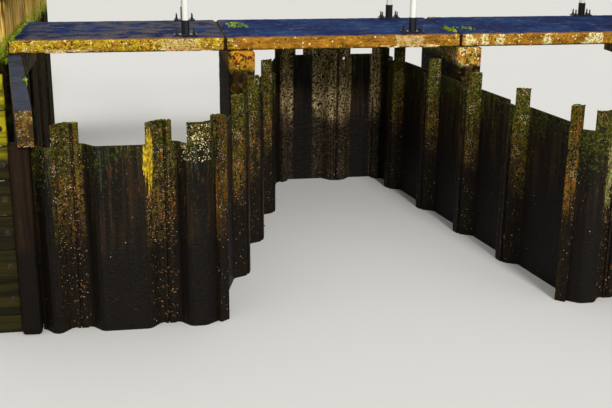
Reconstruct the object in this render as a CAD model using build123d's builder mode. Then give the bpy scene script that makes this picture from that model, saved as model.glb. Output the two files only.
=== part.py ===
from build123d import *
from math import atan2, ceil, cos, degrees, hypot, radians, sin, tan
import os

os.makedirs("parts", exist_ok=True)

# Duckbill weir: a folded wall of steel trough piles, notched along its crest, with banks
# each side and a slab footbridge over it. Millimetres. +X runs along the footbridge,
# +Y upstream and +Z up. Z = 0 is the water below the weir, where its feet are.

# Levels above the lower water
water_level = 1200
sill_drop = 90
land_rise = 30
corner_rise = 50
slab_clearance = 133
slab_thickness = 104
high_bank_rise = 600

# Plan of the crest, measured from the footbridge's front edge
wing_setback = 1790
back_wall_offset = 1090
left_corner_x = -1184
right_corner_x = 966
left_foot_offset = 38
left_back_x = -400
right_back_x = 405

# Trough piles
pile_thickness = 10
pile_depth = 75
bend_facet = 12
lap_length = 60
flange_run = 60
end_stub = 14
wing_pitch = 512
wing_slit_from_corner = 302
least_end_pile = 220
left_side_slit = 771
left_side_pitch = 682
right_side_slit = 753
right_side_pitch = 635
back_slit_x = 60
widest_bank_pile = 700
land_before_slit = 110
land_after_slit = 37
notch_overrun = 12
back_notch_offset = 100
back_notch_width = 65
lifting_hole_diameter = 24
lifting_hole_from_slit = 48
lifting_hole_drop = 145
post_side = 65
back_corner_cut = 95

# Clutches that hook one pile to the next
clutch_wall = 8
clutch_gap = 3
clutch_hook = 5
clutch_slit = 6
clutch_bulb = 16

# Banks
bank_reach = 2625
bank_beyond_walk = 2315
right_bank_beyond_walk = 5
cap_front_offset = 1930
cap_width = 88
cap_depth = 200
end_post_width = 115
end_post_depth = 100
end_post_inset = 50
coping_width = 180
coping_height = 60
coping_chamfer = 10
board_width = 285
board_height = 200
board_thickness = 50
board_groove = 16
board_top_rise = 177

# Footbridge
walk_width = 1035
walk_end_gap = 5
joint_gap = 8
left_joint_x = -992
right_joint_x = 797
slab_chamfer = 3
pier_spacing = 1745
pier_width = 200
pier_chamfer = 10
ledge_leg = 40
ledge_thickness = 6

# Handrails
stanchion_spacing = 1718
first_stanchion_x = -1277
rear_row_shift = 28
front_stanchion_inset = 110
rear_stanchion_inset = 50
tube_diameter = 48.3
sleeve_diameter = 60
sleeve_height = 112
sleeve_clearance = 0.3
plate_length = 170
plate_width = 90
plate_thickness = 10
top_rail_height = 1100
mid_rail_height = 550
mid_rail_diameter = 33.7
rail_clearance = 0.3

# Worked out from the sizes above
bank_rear_offset = walk_width + bank_beyond_walk
walk_front = -(bank_rear_offset - cap_front_offset) / 2
walk_rear = walk_front + walk_width
slab_under = water_level + slab_clearance
slab_top = slab_under + slab_thickness
sill_level = water_level - sill_drop
land_level = water_level + land_rise
corner_level = water_level + corner_rise
high_bank_level = water_level + high_bank_rise
wing_y = walk_front - wing_setback
back_y = walk_front + back_wall_offset
bank_front = walk_front
bank_rears = {"left": walk_front + bank_rear_offset, "right": walk_rear + right_bank_beyond_walk}
cap_front = walk_front - cap_front_offset
cap_under = slab_under - cap_depth
bank_line_x = bank_reach - pile_thickness / 2
bank_face_x = bank_line_x - pile_depth - pile_thickness / 2
slab_end_x = bank_face_x - walk_end_gap
cap_rear_x = bank_face_x - cap_width / 2
wing_end_x = bank_reach - board_width - end_post_width
cap_front_x = wing_end_x + end_post_inset - cap_width / 2
notch_cut_width = 4 * pile_depth
hole_level = land_level - lifting_hole_drop


def direction(heading):
    """Unit vector in plan for a heading in degrees."""
    return Vector(cos(radians(heading)), sin(radians(heading)), 0)


def wall_plane(start, heading, height=0):
    """Plane at a point of a wall: local X runs along it and local -Y faces downstream."""
    return Plane(origin=(start.X, start.Y, height), x_dir=direction(heading), z_dir=(0, 0, 1))


def between(a, b):
    """Length and heading from one plan point to another."""
    return hypot(b.X - a.X, b.Y - a.Y), degrees(atan2(b.Y - a.Y, b.X - a.X))


def clutch(at, turned):
    """Hooked clutch on the wall's line; the turned one is the same hook half round."""
    side = -1 if turned else 1
    arm_y = clutch_gap + clutch_hook + clutch_wall / 2
    bulb_end = clutch_wall + clutch_slit
    arm_length = clutch_wall + bulb_end + clutch_bulb / 2
    with Locations((at - side * (bulb_end + clutch_bulb / 2), 0)):
        Rectangle(clutch_bulb, 2 * arm_y + clutch_wall)
    with Locations((at + side * (clutch_wall - arm_length / 2), side * arm_y)):
        Rectangle(arm_length, clutch_wall)
    hook_height = arm_y + clutch_wall / 2 + clutch_hook
    with Locations((at + side * clutch_wall / 2, side * (hook_height / 2 - clutch_hook))):
        Rectangle(clutch_wall, hook_height)


def eased(points):
    """The same run of points with a short facet across each bend."""
    run = [points[0]]
    for before, at, after in zip(points, points[1:], points[2:]):
        for end in (before, after):
            length = hypot(end[0] - at[0], end[1] - at[1])
            share = bend_facet / length
            run.append((at[0] + (end[0] - at[0]) * share, at[1] + (end[1] - at[1]) * share))
    run.append(points[-1])
    return run


def trough(start, heading, middle, clutches, level, notches, holes=()):
    """Trough pile: a bent plate with clutches, stood on end, notched along its crest."""
    with BuildPart() as pile:
        with BuildSketch(wall_plane(start, heading)):
            with BuildLine(mode=Mode.PRIVATE) as bend:
                Polyline(*eased(middle))
            trace(bend.line, line_width=pile_thickness)
            for at, turned in clutches:
                clutch(at, turned)
        extrude(amount=level)
        for low, high in notches:
            with BuildSketch(wall_plane(start, heading, sill_level)):
                with Locations(((low + high) / 2, 0)):
                    Rectangle(high - low, notch_cut_width)
            extrude(amount=level - sill_level, mode=Mode.SUBTRACT)
        for at in holes:
            with BuildSketch(Plane(origin=start, x_dir=direction(heading), z_dir=direction(heading - 90))):
                with Locations((at, hole_level)):
                    Circle(lifting_hole_diameter / 2)
            extrude(amount=pile_depth, both=True, mode=Mode.SUBTRACT)
    return pile


def claw_reach():
    """Distance from the slit to the middle of the clutch's bulb."""
    return clutch_wall + clutch_slit + clutch_bulb / 2


def full_pile(start, heading, width, level, dish, notches):
    """Pile with a clutch at each end; dish -1 or 1 tells on which side its web lies."""
    middle = [
        (claw_reach(), 0),
        (lap_length, 0),
        (lap_length + flange_run, dish * pile_depth),
        (width - lap_length - flange_run, dish * pile_depth),
        (width - lap_length, 0),
        (width - claw_reach(), 0),
    ]
    return trough(start, heading, middle, [(0, True), (width, False)], level, notches)


def save(pile, name):
    """Label a finished pile and write it."""
    pile.part.label = name
    export_step(pile.part, f"parts/{name}.step")


# Corner posts, each square to the line that halves the wall's turn
left_front = Vector(left_corner_x, wing_y, 0)
right_front = Vector(right_corner_x, wing_y, 0)
left_back = Vector(left_back_x, back_y, 0)
right_back = Vector(right_back_x, back_y, 0)
left_foot = left_front + direction(0) * left_foot_offset
left_length, left_heading = between(left_foot, left_back)
right_length, right_heading = between(right_back, right_front)


def corner_post(name, centre, heading):
    """Hollow square steel post with a closed top."""
    with BuildPart() as post:
        with BuildSketch(wall_plane(centre, heading)):
            Rectangle(post_side, post_side)
            offset(amount=-pile_thickness / 2, mode=Mode.SUBTRACT)
        extrude(amount=corner_level - pile_thickness)
        with BuildSketch(wall_plane(centre, heading, corner_level - pile_thickness)):
            Rectangle(post_side, post_side)
        extrude(amount=pile_thickness)
    save(post, name)


# Back corners: the web lines meet on the upstream side and the post cuts the corner
back_web_y = back_y + pile_depth


def web_corner(side_point, heading):
    """Where a side wall's web line meets the back wall's web line."""
    offset_point = side_point + direction(heading + 90) * pile_depth
    run = (back_web_y - offset_point.Y) / sin(radians(heading))
    return offset_point + direction(heading) * run


left_web_corner = web_corner(left_foot, left_heading)
right_web_corner = web_corner(right_back, right_heading)
left_post_back = left_web_corner + (direction(0) - direction(left_heading)) * (back_corner_cut / 2)
right_post_back = right_web_corner + (direction(right_heading) - direction(0)) * (back_corner_cut / 2)

corner_post("left_front_corner_post", left_front, left_heading / 2)
corner_post("right_front_corner_post", right_front, right_heading / 2)
corner_post("left_back_corner_post", left_post_back, left_heading / 2)
corner_post("right_back_corner_post", right_post_back, right_heading / 2)


def to_local(point, start, heading):
    """A plan point in a wall's own directions."""
    shift = point - start
    along = direction(heading)
    across = direction(heading + 90)
    return (shift.X * along.X + shift.Y * along.Y, shift.X * across.X + shift.Y * across.Y)


def post_face(centre, face_heading):
    """Middle of the post's face that looks toward a heading."""
    return centre + direction(face_heading) * (post_side / 2)


def flange_knee(face, face_heading, wall_start, wall_heading, dish):
    """Where the flange that is square to a post's face reaches the wall's web line."""
    x, y = to_local(face, wall_start, wall_heading)
    slope = radians(face_heading - wall_heading)
    run = (dish * pile_depth - y) / tan(slope)
    return (x + run, dish * pile_depth)


def cuts_beside_land(low_end, land_start, high_end):
    """Cuts that leave one land standing on a side pile, on a flange that faces downstream."""
    return [
        (low_end - notch_overrun, land_start),
        (land_start + flange_run, high_end + notch_overrun),
    ]


# Wings, with their webs on the downstream side
def wing_slits(corner_x):
    """Distances of one wing's slits from the middle, from its corner outward."""
    first = abs(corner_x) + wing_slit_from_corner
    full_piles = int((wing_end_x - first - least_end_pile) // wing_pitch)
    return [first + wing_pitch * n for n in range(full_piles + 1)]


left_slits = wing_slits(left_corner_x)
right_slits = wing_slits(right_corner_x)
wing_notch = (land_after_slit, wing_pitch - land_before_slit)


def wing_end_pile(name, slit, side):
    """Pile between the bank's end post and the last slit; side is -1 left, 1 right."""
    width = wing_end_x - slit
    if side < 0:
        start = Vector(-wing_end_x, wing_y, 0)
        middle = [
            (0, 0),
            (end_stub, 0),
            (end_stub + flange_run, -pile_depth),
            (width - lap_length - flange_run, -pile_depth),
            (width - lap_length, 0),
            (width - claw_reach(), 0),
        ]
        clutches = [(width, False)]
        notch = (-notch_overrun, width - land_before_slit)
    else:
        start = Vector(slit, wing_y, 0)
        middle = [
            (claw_reach(), 0),
            (lap_length, 0),
            (lap_length + flange_run, -pile_depth),
            (width - end_stub - flange_run, -pile_depth),
            (width - end_stub, 0),
            (width, 0),
        ]
        clutches = [(0, True)]
        notch = (land_after_slit, width + notch_overrun)
    save(trough(start, 0, middle, clutches, land_level, [notch]), name)


wing_end_pile("left_wing_end_pile", left_slits[-1], -1)
for n, slit in enumerate(left_slits[1:]):
    start = Vector(-slit, wing_y, 0)
    save(full_pile(start, 0, wing_pitch, land_level, -1, [wing_notch]), f"left_wing_pile_{n + 1}")
for n, slit in enumerate(right_slits[:-1]):
    start = Vector(slit, wing_y, 0)
    save(full_pile(start, 0, wing_pitch, land_level, -1, [wing_notch]), f"right_wing_pile_{n + 1}")
wing_end_pile("right_wing_end_pile", right_slits[-1], 1)


def pile_into_post(name, start, heading, dish, face, face_heading, cuts):
    """Pile from a slit to a corner post, its last flange square to the post's face."""
    middle = [
        (claw_reach(), 0),
        (lap_length, 0),
        (lap_length + flange_run, dish * pile_depth),
        flange_knee(face, face_heading, start, heading, dish),
        to_local(face, start, heading),
    ]
    save(trough(start, heading, middle, [(0, True)], land_level, cuts), name)


def pile_from_post(name, start, heading, dish, face, face_heading, length, cuts):
    """Pile from a corner post to a slit, its first flange square to the post's face."""
    middle = [
        to_local(face, start, heading),
        flange_knee(face, face_heading, start, heading, dish),
        (length - lap_length - flange_run, dish * pile_depth),
        (length - lap_length, 0),
        (length - claw_reach(), 0),
    ]
    save(trough(start, heading, middle, [(length, False)], land_level, cuts), name)


# Wing piles beside the corners
face_heading = left_heading / 2 + 180
pile_into_post(
    "left_wing_corner_pile",
    Vector(-left_slits[0], wing_y, 0),
    0,
    -1,
    post_face(left_front, face_heading),
    face_heading,
    [(land_after_slit, lap_length + flange_run)],
)
face_heading = right_heading / 2
face = post_face(right_front, face_heading)
pile_from_post(
    "right_wing_corner_pile",
    right_front,
    0,
    -1,
    face,
    face_heading,
    wing_slit_from_corner,
    [(0, flange_knee(face, face_heading, right_front, 0, -1)[0])],
)


# Side walls, counted from the front corners, with their webs on the upstream side
def side_slits(length, first, pitch):
    """Distances of a side wall's slits from its front corner."""
    full_piles = int((length - first - least_end_pile) // pitch)
    return [first + pitch * n for n in range(full_piles + 1)]


def back_bend(corner, wall_heading, side, start):
    """Where a wall's web bends toward a back corner's post."""
    return to_local(corner + direction(wall_heading) * (side * back_corner_cut), start, wall_heading)


def pile_into_back_post(name, start, heading, bend, centre, post_heading, cuts, holes=()):
    """Last pile of a wall that runs into a back corner: its web bends to the post."""
    middle = [
        (claw_reach(), 0),
        (lap_length, 0),
        (lap_length + flange_run, pile_depth),
        bend,
        to_local(post_face(centre, post_heading + 180), start, heading),
    ]
    save(trough(start, heading, middle, [(0, True)], land_level, cuts, holes), name)


def pile_from_back_post(name, start, heading, bend, centre, post_heading, length, cuts):
    """First pile of a wall that leaves a back corner: it bends from the post to its web."""
    middle = [
        to_local(post_face(centre, post_heading), start, heading),
        bend,
        (length - lap_length - flange_run, pile_depth),
        (length - lap_length, 0),
        (length - claw_reach(), 0),
    ]
    save(trough(start, heading, middle, [(length, False)], land_level, cuts), name)


left_side_slits = side_slits(left_length, left_side_slit, left_side_pitch)
face_heading = left_heading / 2 + 90
face = post_face(left_front, face_heading)
pile_from_post(
    "left_side_pile_1",
    left_foot,
    left_heading,
    1,
    face,
    face_heading,
    left_side_slit,
    cuts_beside_land(
        to_local(face, left_foot, left_heading)[0],
        left_side_slit - lap_length - flange_run,
        left_side_slit,
    ),
)
for n, slit in enumerate(left_side_slits[:-1]):
    start = left_foot + direction(left_heading) * slit
    cuts = cuts_beside_land(0, left_side_pitch - lap_length - flange_run, left_side_pitch)
    pile = full_pile(start, left_heading, left_side_pitch, land_level, 1, cuts)
    save(pile, f"left_side_pile_{n + 2}")
start = left_foot + direction(left_heading) * left_side_slits[-1]
bend = back_bend(left_web_corner, left_heading, -1, start)
pile_into_back_post(
    f"left_side_pile_{len(left_side_slits) + 1}",
    start,
    left_heading,
    bend,
    left_post_back,
    left_heading / 2,
    [(-notch_overrun, bend[0] - land_after_slit)],
)

right_side_slits = side_slits(right_length, right_side_slit, right_side_pitch)
bend = back_bend(right_web_corner, right_heading, 1, right_back)
length = right_length - right_side_slits[-1]
pile_from_back_post(
    f"right_side_pile_{len(right_side_slits) + 1}",
    right_back,
    right_heading,
    bend,
    right_post_back,
    right_heading / 2,
    length,
    [(bend[0] + land_after_slit, length + notch_overrun)],
)
for n, slit in enumerate(right_side_slits[1:]):
    start = right_front - direction(right_heading) * slit
    cuts = cuts_beside_land(0, lap_length, right_side_pitch)
    pile = full_pile(start, right_heading, right_side_pitch, land_level, 1, cuts)
    save(pile, f"right_side_pile_{n + 2}")
face_heading = right_heading / 2 + 90
face = post_face(right_front, face_heading)
start = right_front - direction(right_heading) * right_side_slit
pile_into_post(
    "right_side_pile_1",
    start,
    right_heading,
    1,
    face,
    face_heading,
    cuts_beside_land(0, lap_length, to_local(face, start, right_heading)[0]),
)

# Back wall, with a hole for lifting in the right pile's lap
bend = back_bend(left_web_corner, 0, 1, left_back)
pile_from_back_post(
    "back_left_pile",
    left_back,
    0,
    bend,
    left_post_back,
    left_heading / 2,
    back_slit_x - left_back_x,
    [(back_notch_offset, back_notch_offset + back_notch_width)],
)
start = Vector(back_slit_x, back_y, 0)
bend = back_bend(right_web_corner, 0, -1, start)
pile_into_back_post(
    "back_right_pile",
    start,
    0,
    bend,
    right_post_back,
    right_heading / 2,
    [(lap_length + flange_run, bend[0])],
    [lifting_hole_from_slit],
)

# Banks: low piles and a cap beam beside the weir, high piles and a coping upstream
cap_run = hypot(cap_front_offset, cap_rear_x - cap_front_x)


def cap_x(y):
    """Middle of the cap beam at a distance along the bank."""
    share = (y - cap_front) / (walk_front - cap_front)
    return cap_front_x + (cap_rear_x - cap_front_x) * share


for side, word in ((-1, "left"), (1, "right")):
    with BuildPart() as cap_beam:
        with BuildSketch(Plane.XY.offset(cap_under)):
            with BuildLine():
                Polyline(
                    (side * (cap_front_x - cap_width / 2), cap_front),
                    (side * (cap_front_x + cap_width / 2), cap_front),
                    (side * (cap_rear_x + cap_width / 2), walk_front),
                    (side * (cap_rear_x + cap_width / 2), walk_rear),
                    (side * (cap_rear_x - cap_width / 2), walk_rear),
                    (side * (cap_rear_x - cap_width / 2), walk_front),
                    close=True,
                )
            make_face()
        extrude(amount=cap_depth)
    save(cap_beam, f"{word}_cap_beam")

    with BuildPart() as end_post:
        with BuildSketch():
            with Locations((side * (wing_end_x + end_post_width / 2), wing_y - pile_depth / 2)):
                Rectangle(end_post_width, end_post_depth)
        extrude(amount=cap_under)
    save(end_post, f"{word}_end_post")

    with BuildPart() as boards:
        board_x = (wing_end_x + end_post_width + bank_reach) / 2
        top = slab_under + board_top_rise
        with BuildSketch():
            with Locations((side * board_x, wing_y)):
                Rectangle(board_width, board_thickness)
        extrude(amount=top)
        groove_levels = [top - board_height * (n + 1) for n in range(int(top // board_height))]
        for level in groove_levels:
            with Locations(
                (side * board_x, wing_y - board_thickness / 2, level),
                (side * board_x, wing_y + board_thickness / 2, level),
            ):
                Box(board_width, board_groove, board_groove, mode=Mode.SUBTRACT)
    save(boards, f"{word}_bank_boards")

    # Low bank piles stand in line with the cap beam, from the end post to the footbridge
    low_start_y = wing_y - pile_depth / 2 + end_post_depth / 2
    low_length = (walk_front - low_start_y) / (cap_front_offset / cap_run)
    with BuildPart() as low_piles:
        line_start = Vector(side * cap_x(low_start_y), low_start_y, 0)
        line_end = Vector(side * cap_rear_x, walk_front, 0)
        length, heading = between(line_start, line_end)
        with BuildSketch(wall_plane(line_start, heading)):
            with BuildLine(mode=Mode.PRIVATE) as wave:
                half = (cap_width - pile_thickness) / 2
                count = ceil(length / widest_bank_pile)
                pitch = length / count
                points = [(0, side * half)]
                for n in range(count):
                    points.append((n * pitch + lap_length, side * half))
                    points.append((n * pitch + lap_length + flange_run, -side * half))
                    points.append(((n + 1) * pitch - lap_length - flange_run, -side * half))
                    points.append(((n + 1) * pitch - lap_length, side * half))
                points.append((length, side * half))
                Polyline(*points)
            trace(wave.line, line_width=pile_thickness)
        extrude(amount=cap_under)
    save(low_piles, f"{word}_low_bank_piles")

    # High bank piles, walked so that their troughs face the channel
    bank_length = bank_rears[word] - bank_front
    bank_count = ceil(bank_length / widest_bank_pile)
    pitch = bank_length / bank_count
    for n in range(bank_count):
        if side < 0:
            start = Vector(-bank_line_x, bank_front + pitch * n, 0)
            heading = 90
        else:
            start = Vector(bank_line_x, bank_front + pitch * (n + 1), 0)
            heading = -90
        pile_top = high_bank_level - coping_height
        save(full_pile(start, heading, pitch, pile_top, -1, []), f"{word}_high_bank_pile_{n + 1}")

    with BuildPart() as coping:
        with BuildSketch(Plane.XY.offset(high_bank_level - coping_height)):
            with Locations((side * (bank_reach - coping_width / 2), bank_front + bank_length / 2)):
                Rectangle(coping_width, bank_length)
        extrude(amount=coping_height)
        chamfer(coping.faces().sort_by(Axis.Z)[-1].edges(), coping_chamfer)
    save(coping, f"{word}_bank_coping")

# Footbridge piers, bearing ledges and slabs
for side, word in ((-1, "left"), (1, "right")):
    with BuildPart() as pier:
        with BuildSketch():
            with Locations((side * pier_spacing / 2, (walk_front + walk_rear) / 2)):
                Rectangle(pier_width, walk_width)
        extrude(amount=slab_under)
        chamfer(pier.edges().filter_by(Axis.Z), pier_chamfer)
    save(pier, f"{word}_pier")

with BuildPart() as ledge:
    ledge_face = -pier_spacing / 2 - pier_width / 2
    with BuildSketch(Plane.XZ.offset(-walk_front)):
        with BuildLine():
            Polyline(
                (ledge_face, slab_under),
                (ledge_face - ledge_leg, slab_under),
                (ledge_face - ledge_leg, slab_under - ledge_thickness),
                (ledge_face - ledge_thickness, slab_under - ledge_thickness),
                (ledge_face - ledge_thickness, slab_under - ledge_leg),
                (ledge_face, slab_under - ledge_leg),
                close=True,
            )
        make_face()
    extrude(amount=-walk_width)
save(ledge, "left_bearing_angle")

slab_ends = {
    "left_slab": (-slab_end_x, left_joint_x - joint_gap / 2),
    "middle_slab": (left_joint_x + joint_gap / 2, right_joint_x - joint_gap / 2),
    "right_slab": (right_joint_x + joint_gap / 2, slab_end_x),
}
for name, (low, high) in slab_ends.items():
    with BuildPart() as slab:
        with BuildSketch(Plane.XY.offset(slab_under)):
            with Locations(((low + high) / 2, (walk_front + walk_rear) / 2)):
                Rectangle(high - low, walk_width)
        extrude(amount=slab_thickness)
        chamfer(slab.faces().sort_by(Axis.Z)[-1].edges(), slab_chamfer)
    save(slab, name)

# Handrails: three stanchions a side on the slabs and one on each bank
stanchion_x = [first_stanchion_x + stanchion_spacing * n for n in range(3)]
bank_stanchion_x = bank_reach - coping_width / 2
rail_levels = {"mid": slab_top + mid_rail_height, "top": slab_top + top_rail_height}
rail_diameters = {"mid": mid_rail_diameter, "top": tube_diameter}
rows = {
    "front": (walk_front + front_stanchion_inset, 0),
    "rear": (walk_rear - rear_stanchion_inset, rear_row_shift),
}
for row, (y, shift) in rows.items():
    feet = [(x + shift, slab_top) for x in stanchion_x]
    feet += [(-bank_stanchion_x, high_bank_level), (bank_stanchion_x, high_bank_level)]

    with BuildPart() as sockets:
        for x, foot in feet:
            with BuildSketch(Plane.XY.offset(foot)):
                with Locations((x, y)):
                    Rectangle(plate_length, plate_width)
            extrude(amount=plate_thickness)
            with BuildSketch(Plane.XY.offset(foot + plate_thickness)):
                with Locations((x, y)):
                    Circle(sleeve_diameter / 2)
                    Circle(tube_diameter / 2 + sleeve_clearance, mode=Mode.SUBTRACT)
            extrude(amount=sleeve_height - plate_thickness)
    save(sockets, f"{row}_stanchion_sockets")

    with BuildPart() as stanchions:
        for x, foot in feet:
            with BuildSketch(Plane.XY.offset(foot + plate_thickness)):
                with Locations((x, y)):
                    Circle(tube_diameter / 2)
            extrude(amount=rail_levels["top"] - foot - plate_thickness)
        for word, level in rail_levels.items():
            with BuildSketch(Plane.YZ):
                with Locations((y, level)):
                    Circle(rail_diameters[word] / 2 + rail_clearance)
            extrude(amount=bank_reach, both=True, mode=Mode.SUBTRACT)
    save(stanchions, f"{row}_stanchions")

    for word, level in rail_levels.items():
        with BuildPart() as rail:
            with BuildSketch(Plane.YZ):
                with Locations((y, level)):
                    Circle(rail_diameters[word] / 2)
            extrude(amount=bank_reach, both=True)
        save(rail, f"{row}_{word}_rail")
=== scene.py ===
"""Dress the duckbill weir: a finish for every solid, and the growth, wear and fixings on them.

Metres, in the construction's own frame: +X along the footbridge, +Y upstream, +Z up.
"""
import logging
import math
from collections.abc import Callable, Sequence
from dataclasses import dataclass, field
from enum import Enum
from functools import reduce
from typing import ClassVar

import bpy
import numpy as np
from mathutils import Matrix, Vector


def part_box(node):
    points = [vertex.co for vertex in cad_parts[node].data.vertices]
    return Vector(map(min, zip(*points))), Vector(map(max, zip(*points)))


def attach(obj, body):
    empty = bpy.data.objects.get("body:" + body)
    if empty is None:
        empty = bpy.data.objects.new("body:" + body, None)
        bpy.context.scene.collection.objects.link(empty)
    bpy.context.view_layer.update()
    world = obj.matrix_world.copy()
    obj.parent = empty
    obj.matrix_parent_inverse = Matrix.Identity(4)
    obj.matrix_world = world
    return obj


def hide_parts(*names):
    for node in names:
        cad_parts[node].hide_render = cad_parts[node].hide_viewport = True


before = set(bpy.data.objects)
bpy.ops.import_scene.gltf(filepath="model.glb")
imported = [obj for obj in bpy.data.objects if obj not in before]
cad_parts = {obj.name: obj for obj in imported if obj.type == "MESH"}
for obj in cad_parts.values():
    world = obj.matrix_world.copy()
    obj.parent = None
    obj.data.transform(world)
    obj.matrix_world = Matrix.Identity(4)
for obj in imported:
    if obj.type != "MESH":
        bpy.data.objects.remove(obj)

log = logging.getLogger("weir")
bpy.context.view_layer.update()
NODES: dict[str, bpy.types.Object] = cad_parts

# Heights: the wet line, the sills of the notches, and just under the tops of the lands
WET_LINE = 1.2
SILL = 1.11
LAND_EDGE = 1.22

# How far a pile reaches past its slit, and where a wing's land starts and ends from the slit
CLUTCH_REACH = 0.008
WING_LANDS = (-0.11, 0.037)

# How far a face's normal leans towards the channel at least, and how far up on level ground
FACING = 0.2
LEVEL = 0.9

# Stretches of the footbridge's edges with thick crust: the middle along X and half the length
CRUSTED = (
    (-1.33, 0.14),
    (0.4, 0.1),
    (0.87, 0.03),
    (0.99, 0.012),
    (1.11, 0.02),
    (1.49, 0.02),
    (1.86, 0.045),
)

Light = tuple[float, float, float, float]
Stretch = tuple[float, float, float]
Socket = bpy.types.NodeSocket
Places = tuple[np.ndarray, np.ndarray]
Keep = Callable[[np.ndarray, np.ndarray], np.ndarray]
Draw = np.random.Generator
EVEN: Stretch = (1.0, 1.0, 1.0)


def upright(share: float) -> Stretch:
    """Stretch of a pattern that runs long up and down."""
    return (1.0, 1.0, share)


class Side(Enum):
    """The two banks, looking upstream."""

    LEFT = "left"
    RIGHT = "right"

    @property
    def sign(self) -> int:
        """Which way the bank lies along X."""
        return -1 if self is Side.LEFT else 1


class Tint(Enum):
    """Colours of the finishes as a screen shows them: two hex digits a channel."""

    OCHRE = "966820"
    GOLD = "b97f28"
    BROWN_EDGE = "6a4618"
    LEFT_EDGE = "b0901e"
    YELLOW_CRUST = "d4b428"
    ORANGE_CRUST = "c67f24"
    WHITE_CRUST = "f4e8b4"
    # Dark of pits and pores; on the slab sides in the joints it is painted shade
    PIT = "261a0a"
    # Deck blues: dark wet and drier concrete, their blue a painted sky reflection
    WET_SLAB = "0e2250"
    DRY_SLAB = "26406e"
    SLAB_DIRT = "625a56"
    SOFFIT = "59661c"
    SOFFIT_DARK = "2c3210"
    # Black of wet steel and wood; also painted shade low on the crest wall, in its slits, on turned post
    # sides and low on the boards
    BLACK_WET = "0e0a06"
    BROWN_WET = "33230f"
    OLIVE_BROWN = "604c18"
    OLIVE = "5a5c14"
    MOSS_DARK = "2a340a"
    MOSS = "7c9a14"
    MOSS_LIGHT = "b8c62c"
    RUST = "55300f"
    RUST_LIGHT = "8f5419"
    SLIME = "d8b41c"
    SLIME_DARK = "7c6a12"
    SHELL = "cfae88"
    SHELL_ROSE = "8a6a48"
    SILT = "6b5a3c"
    PALE_MOSS = "a6a465"
    # Pale crust of the back wall: partly stain, partly painted sunlight
    PALE_STAIN = "ccb480"
    BANK_PALE = "f0c468"
    BANK_GREY = "ac8a38"
    BANK_DARK = "35290f"
    # Slate blues of the cap tops: a painted sky reflection
    SLATE = "2e374c"
    SLATE_DARK = "1c2331"
    BOARD = "a59812"
    BOARD_DARK = "4a4608"
    POST_WOOD = "0c0704"
    POST_WOOD_RED = "24170c"
    WHITE_PAINT = "f1eee4"
    CHALK = "d8d2c0"
    BLACK_PAINT = "141416"
    GREY_SCUFF = "3c3c40"
    MASTIC = "1d1c1e"
    FLOOR = "e6e4df"

    @property
    def light(self) -> Light:
        """The colour as the light that a shader takes.

        Returns:
            Red, green, blue and an alpha of 1.
        """
        channels = [int(self.value[n:n + 2], 16) / 255 for n in (0, 2, 4)]
        linear = [c / 12.92 if c <= 0.04045 else ((c + 0.055) / 1.055) ** 2.4 for c in channels]
        return (linear[0], linear[1], linear[2], 1.0)


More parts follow.
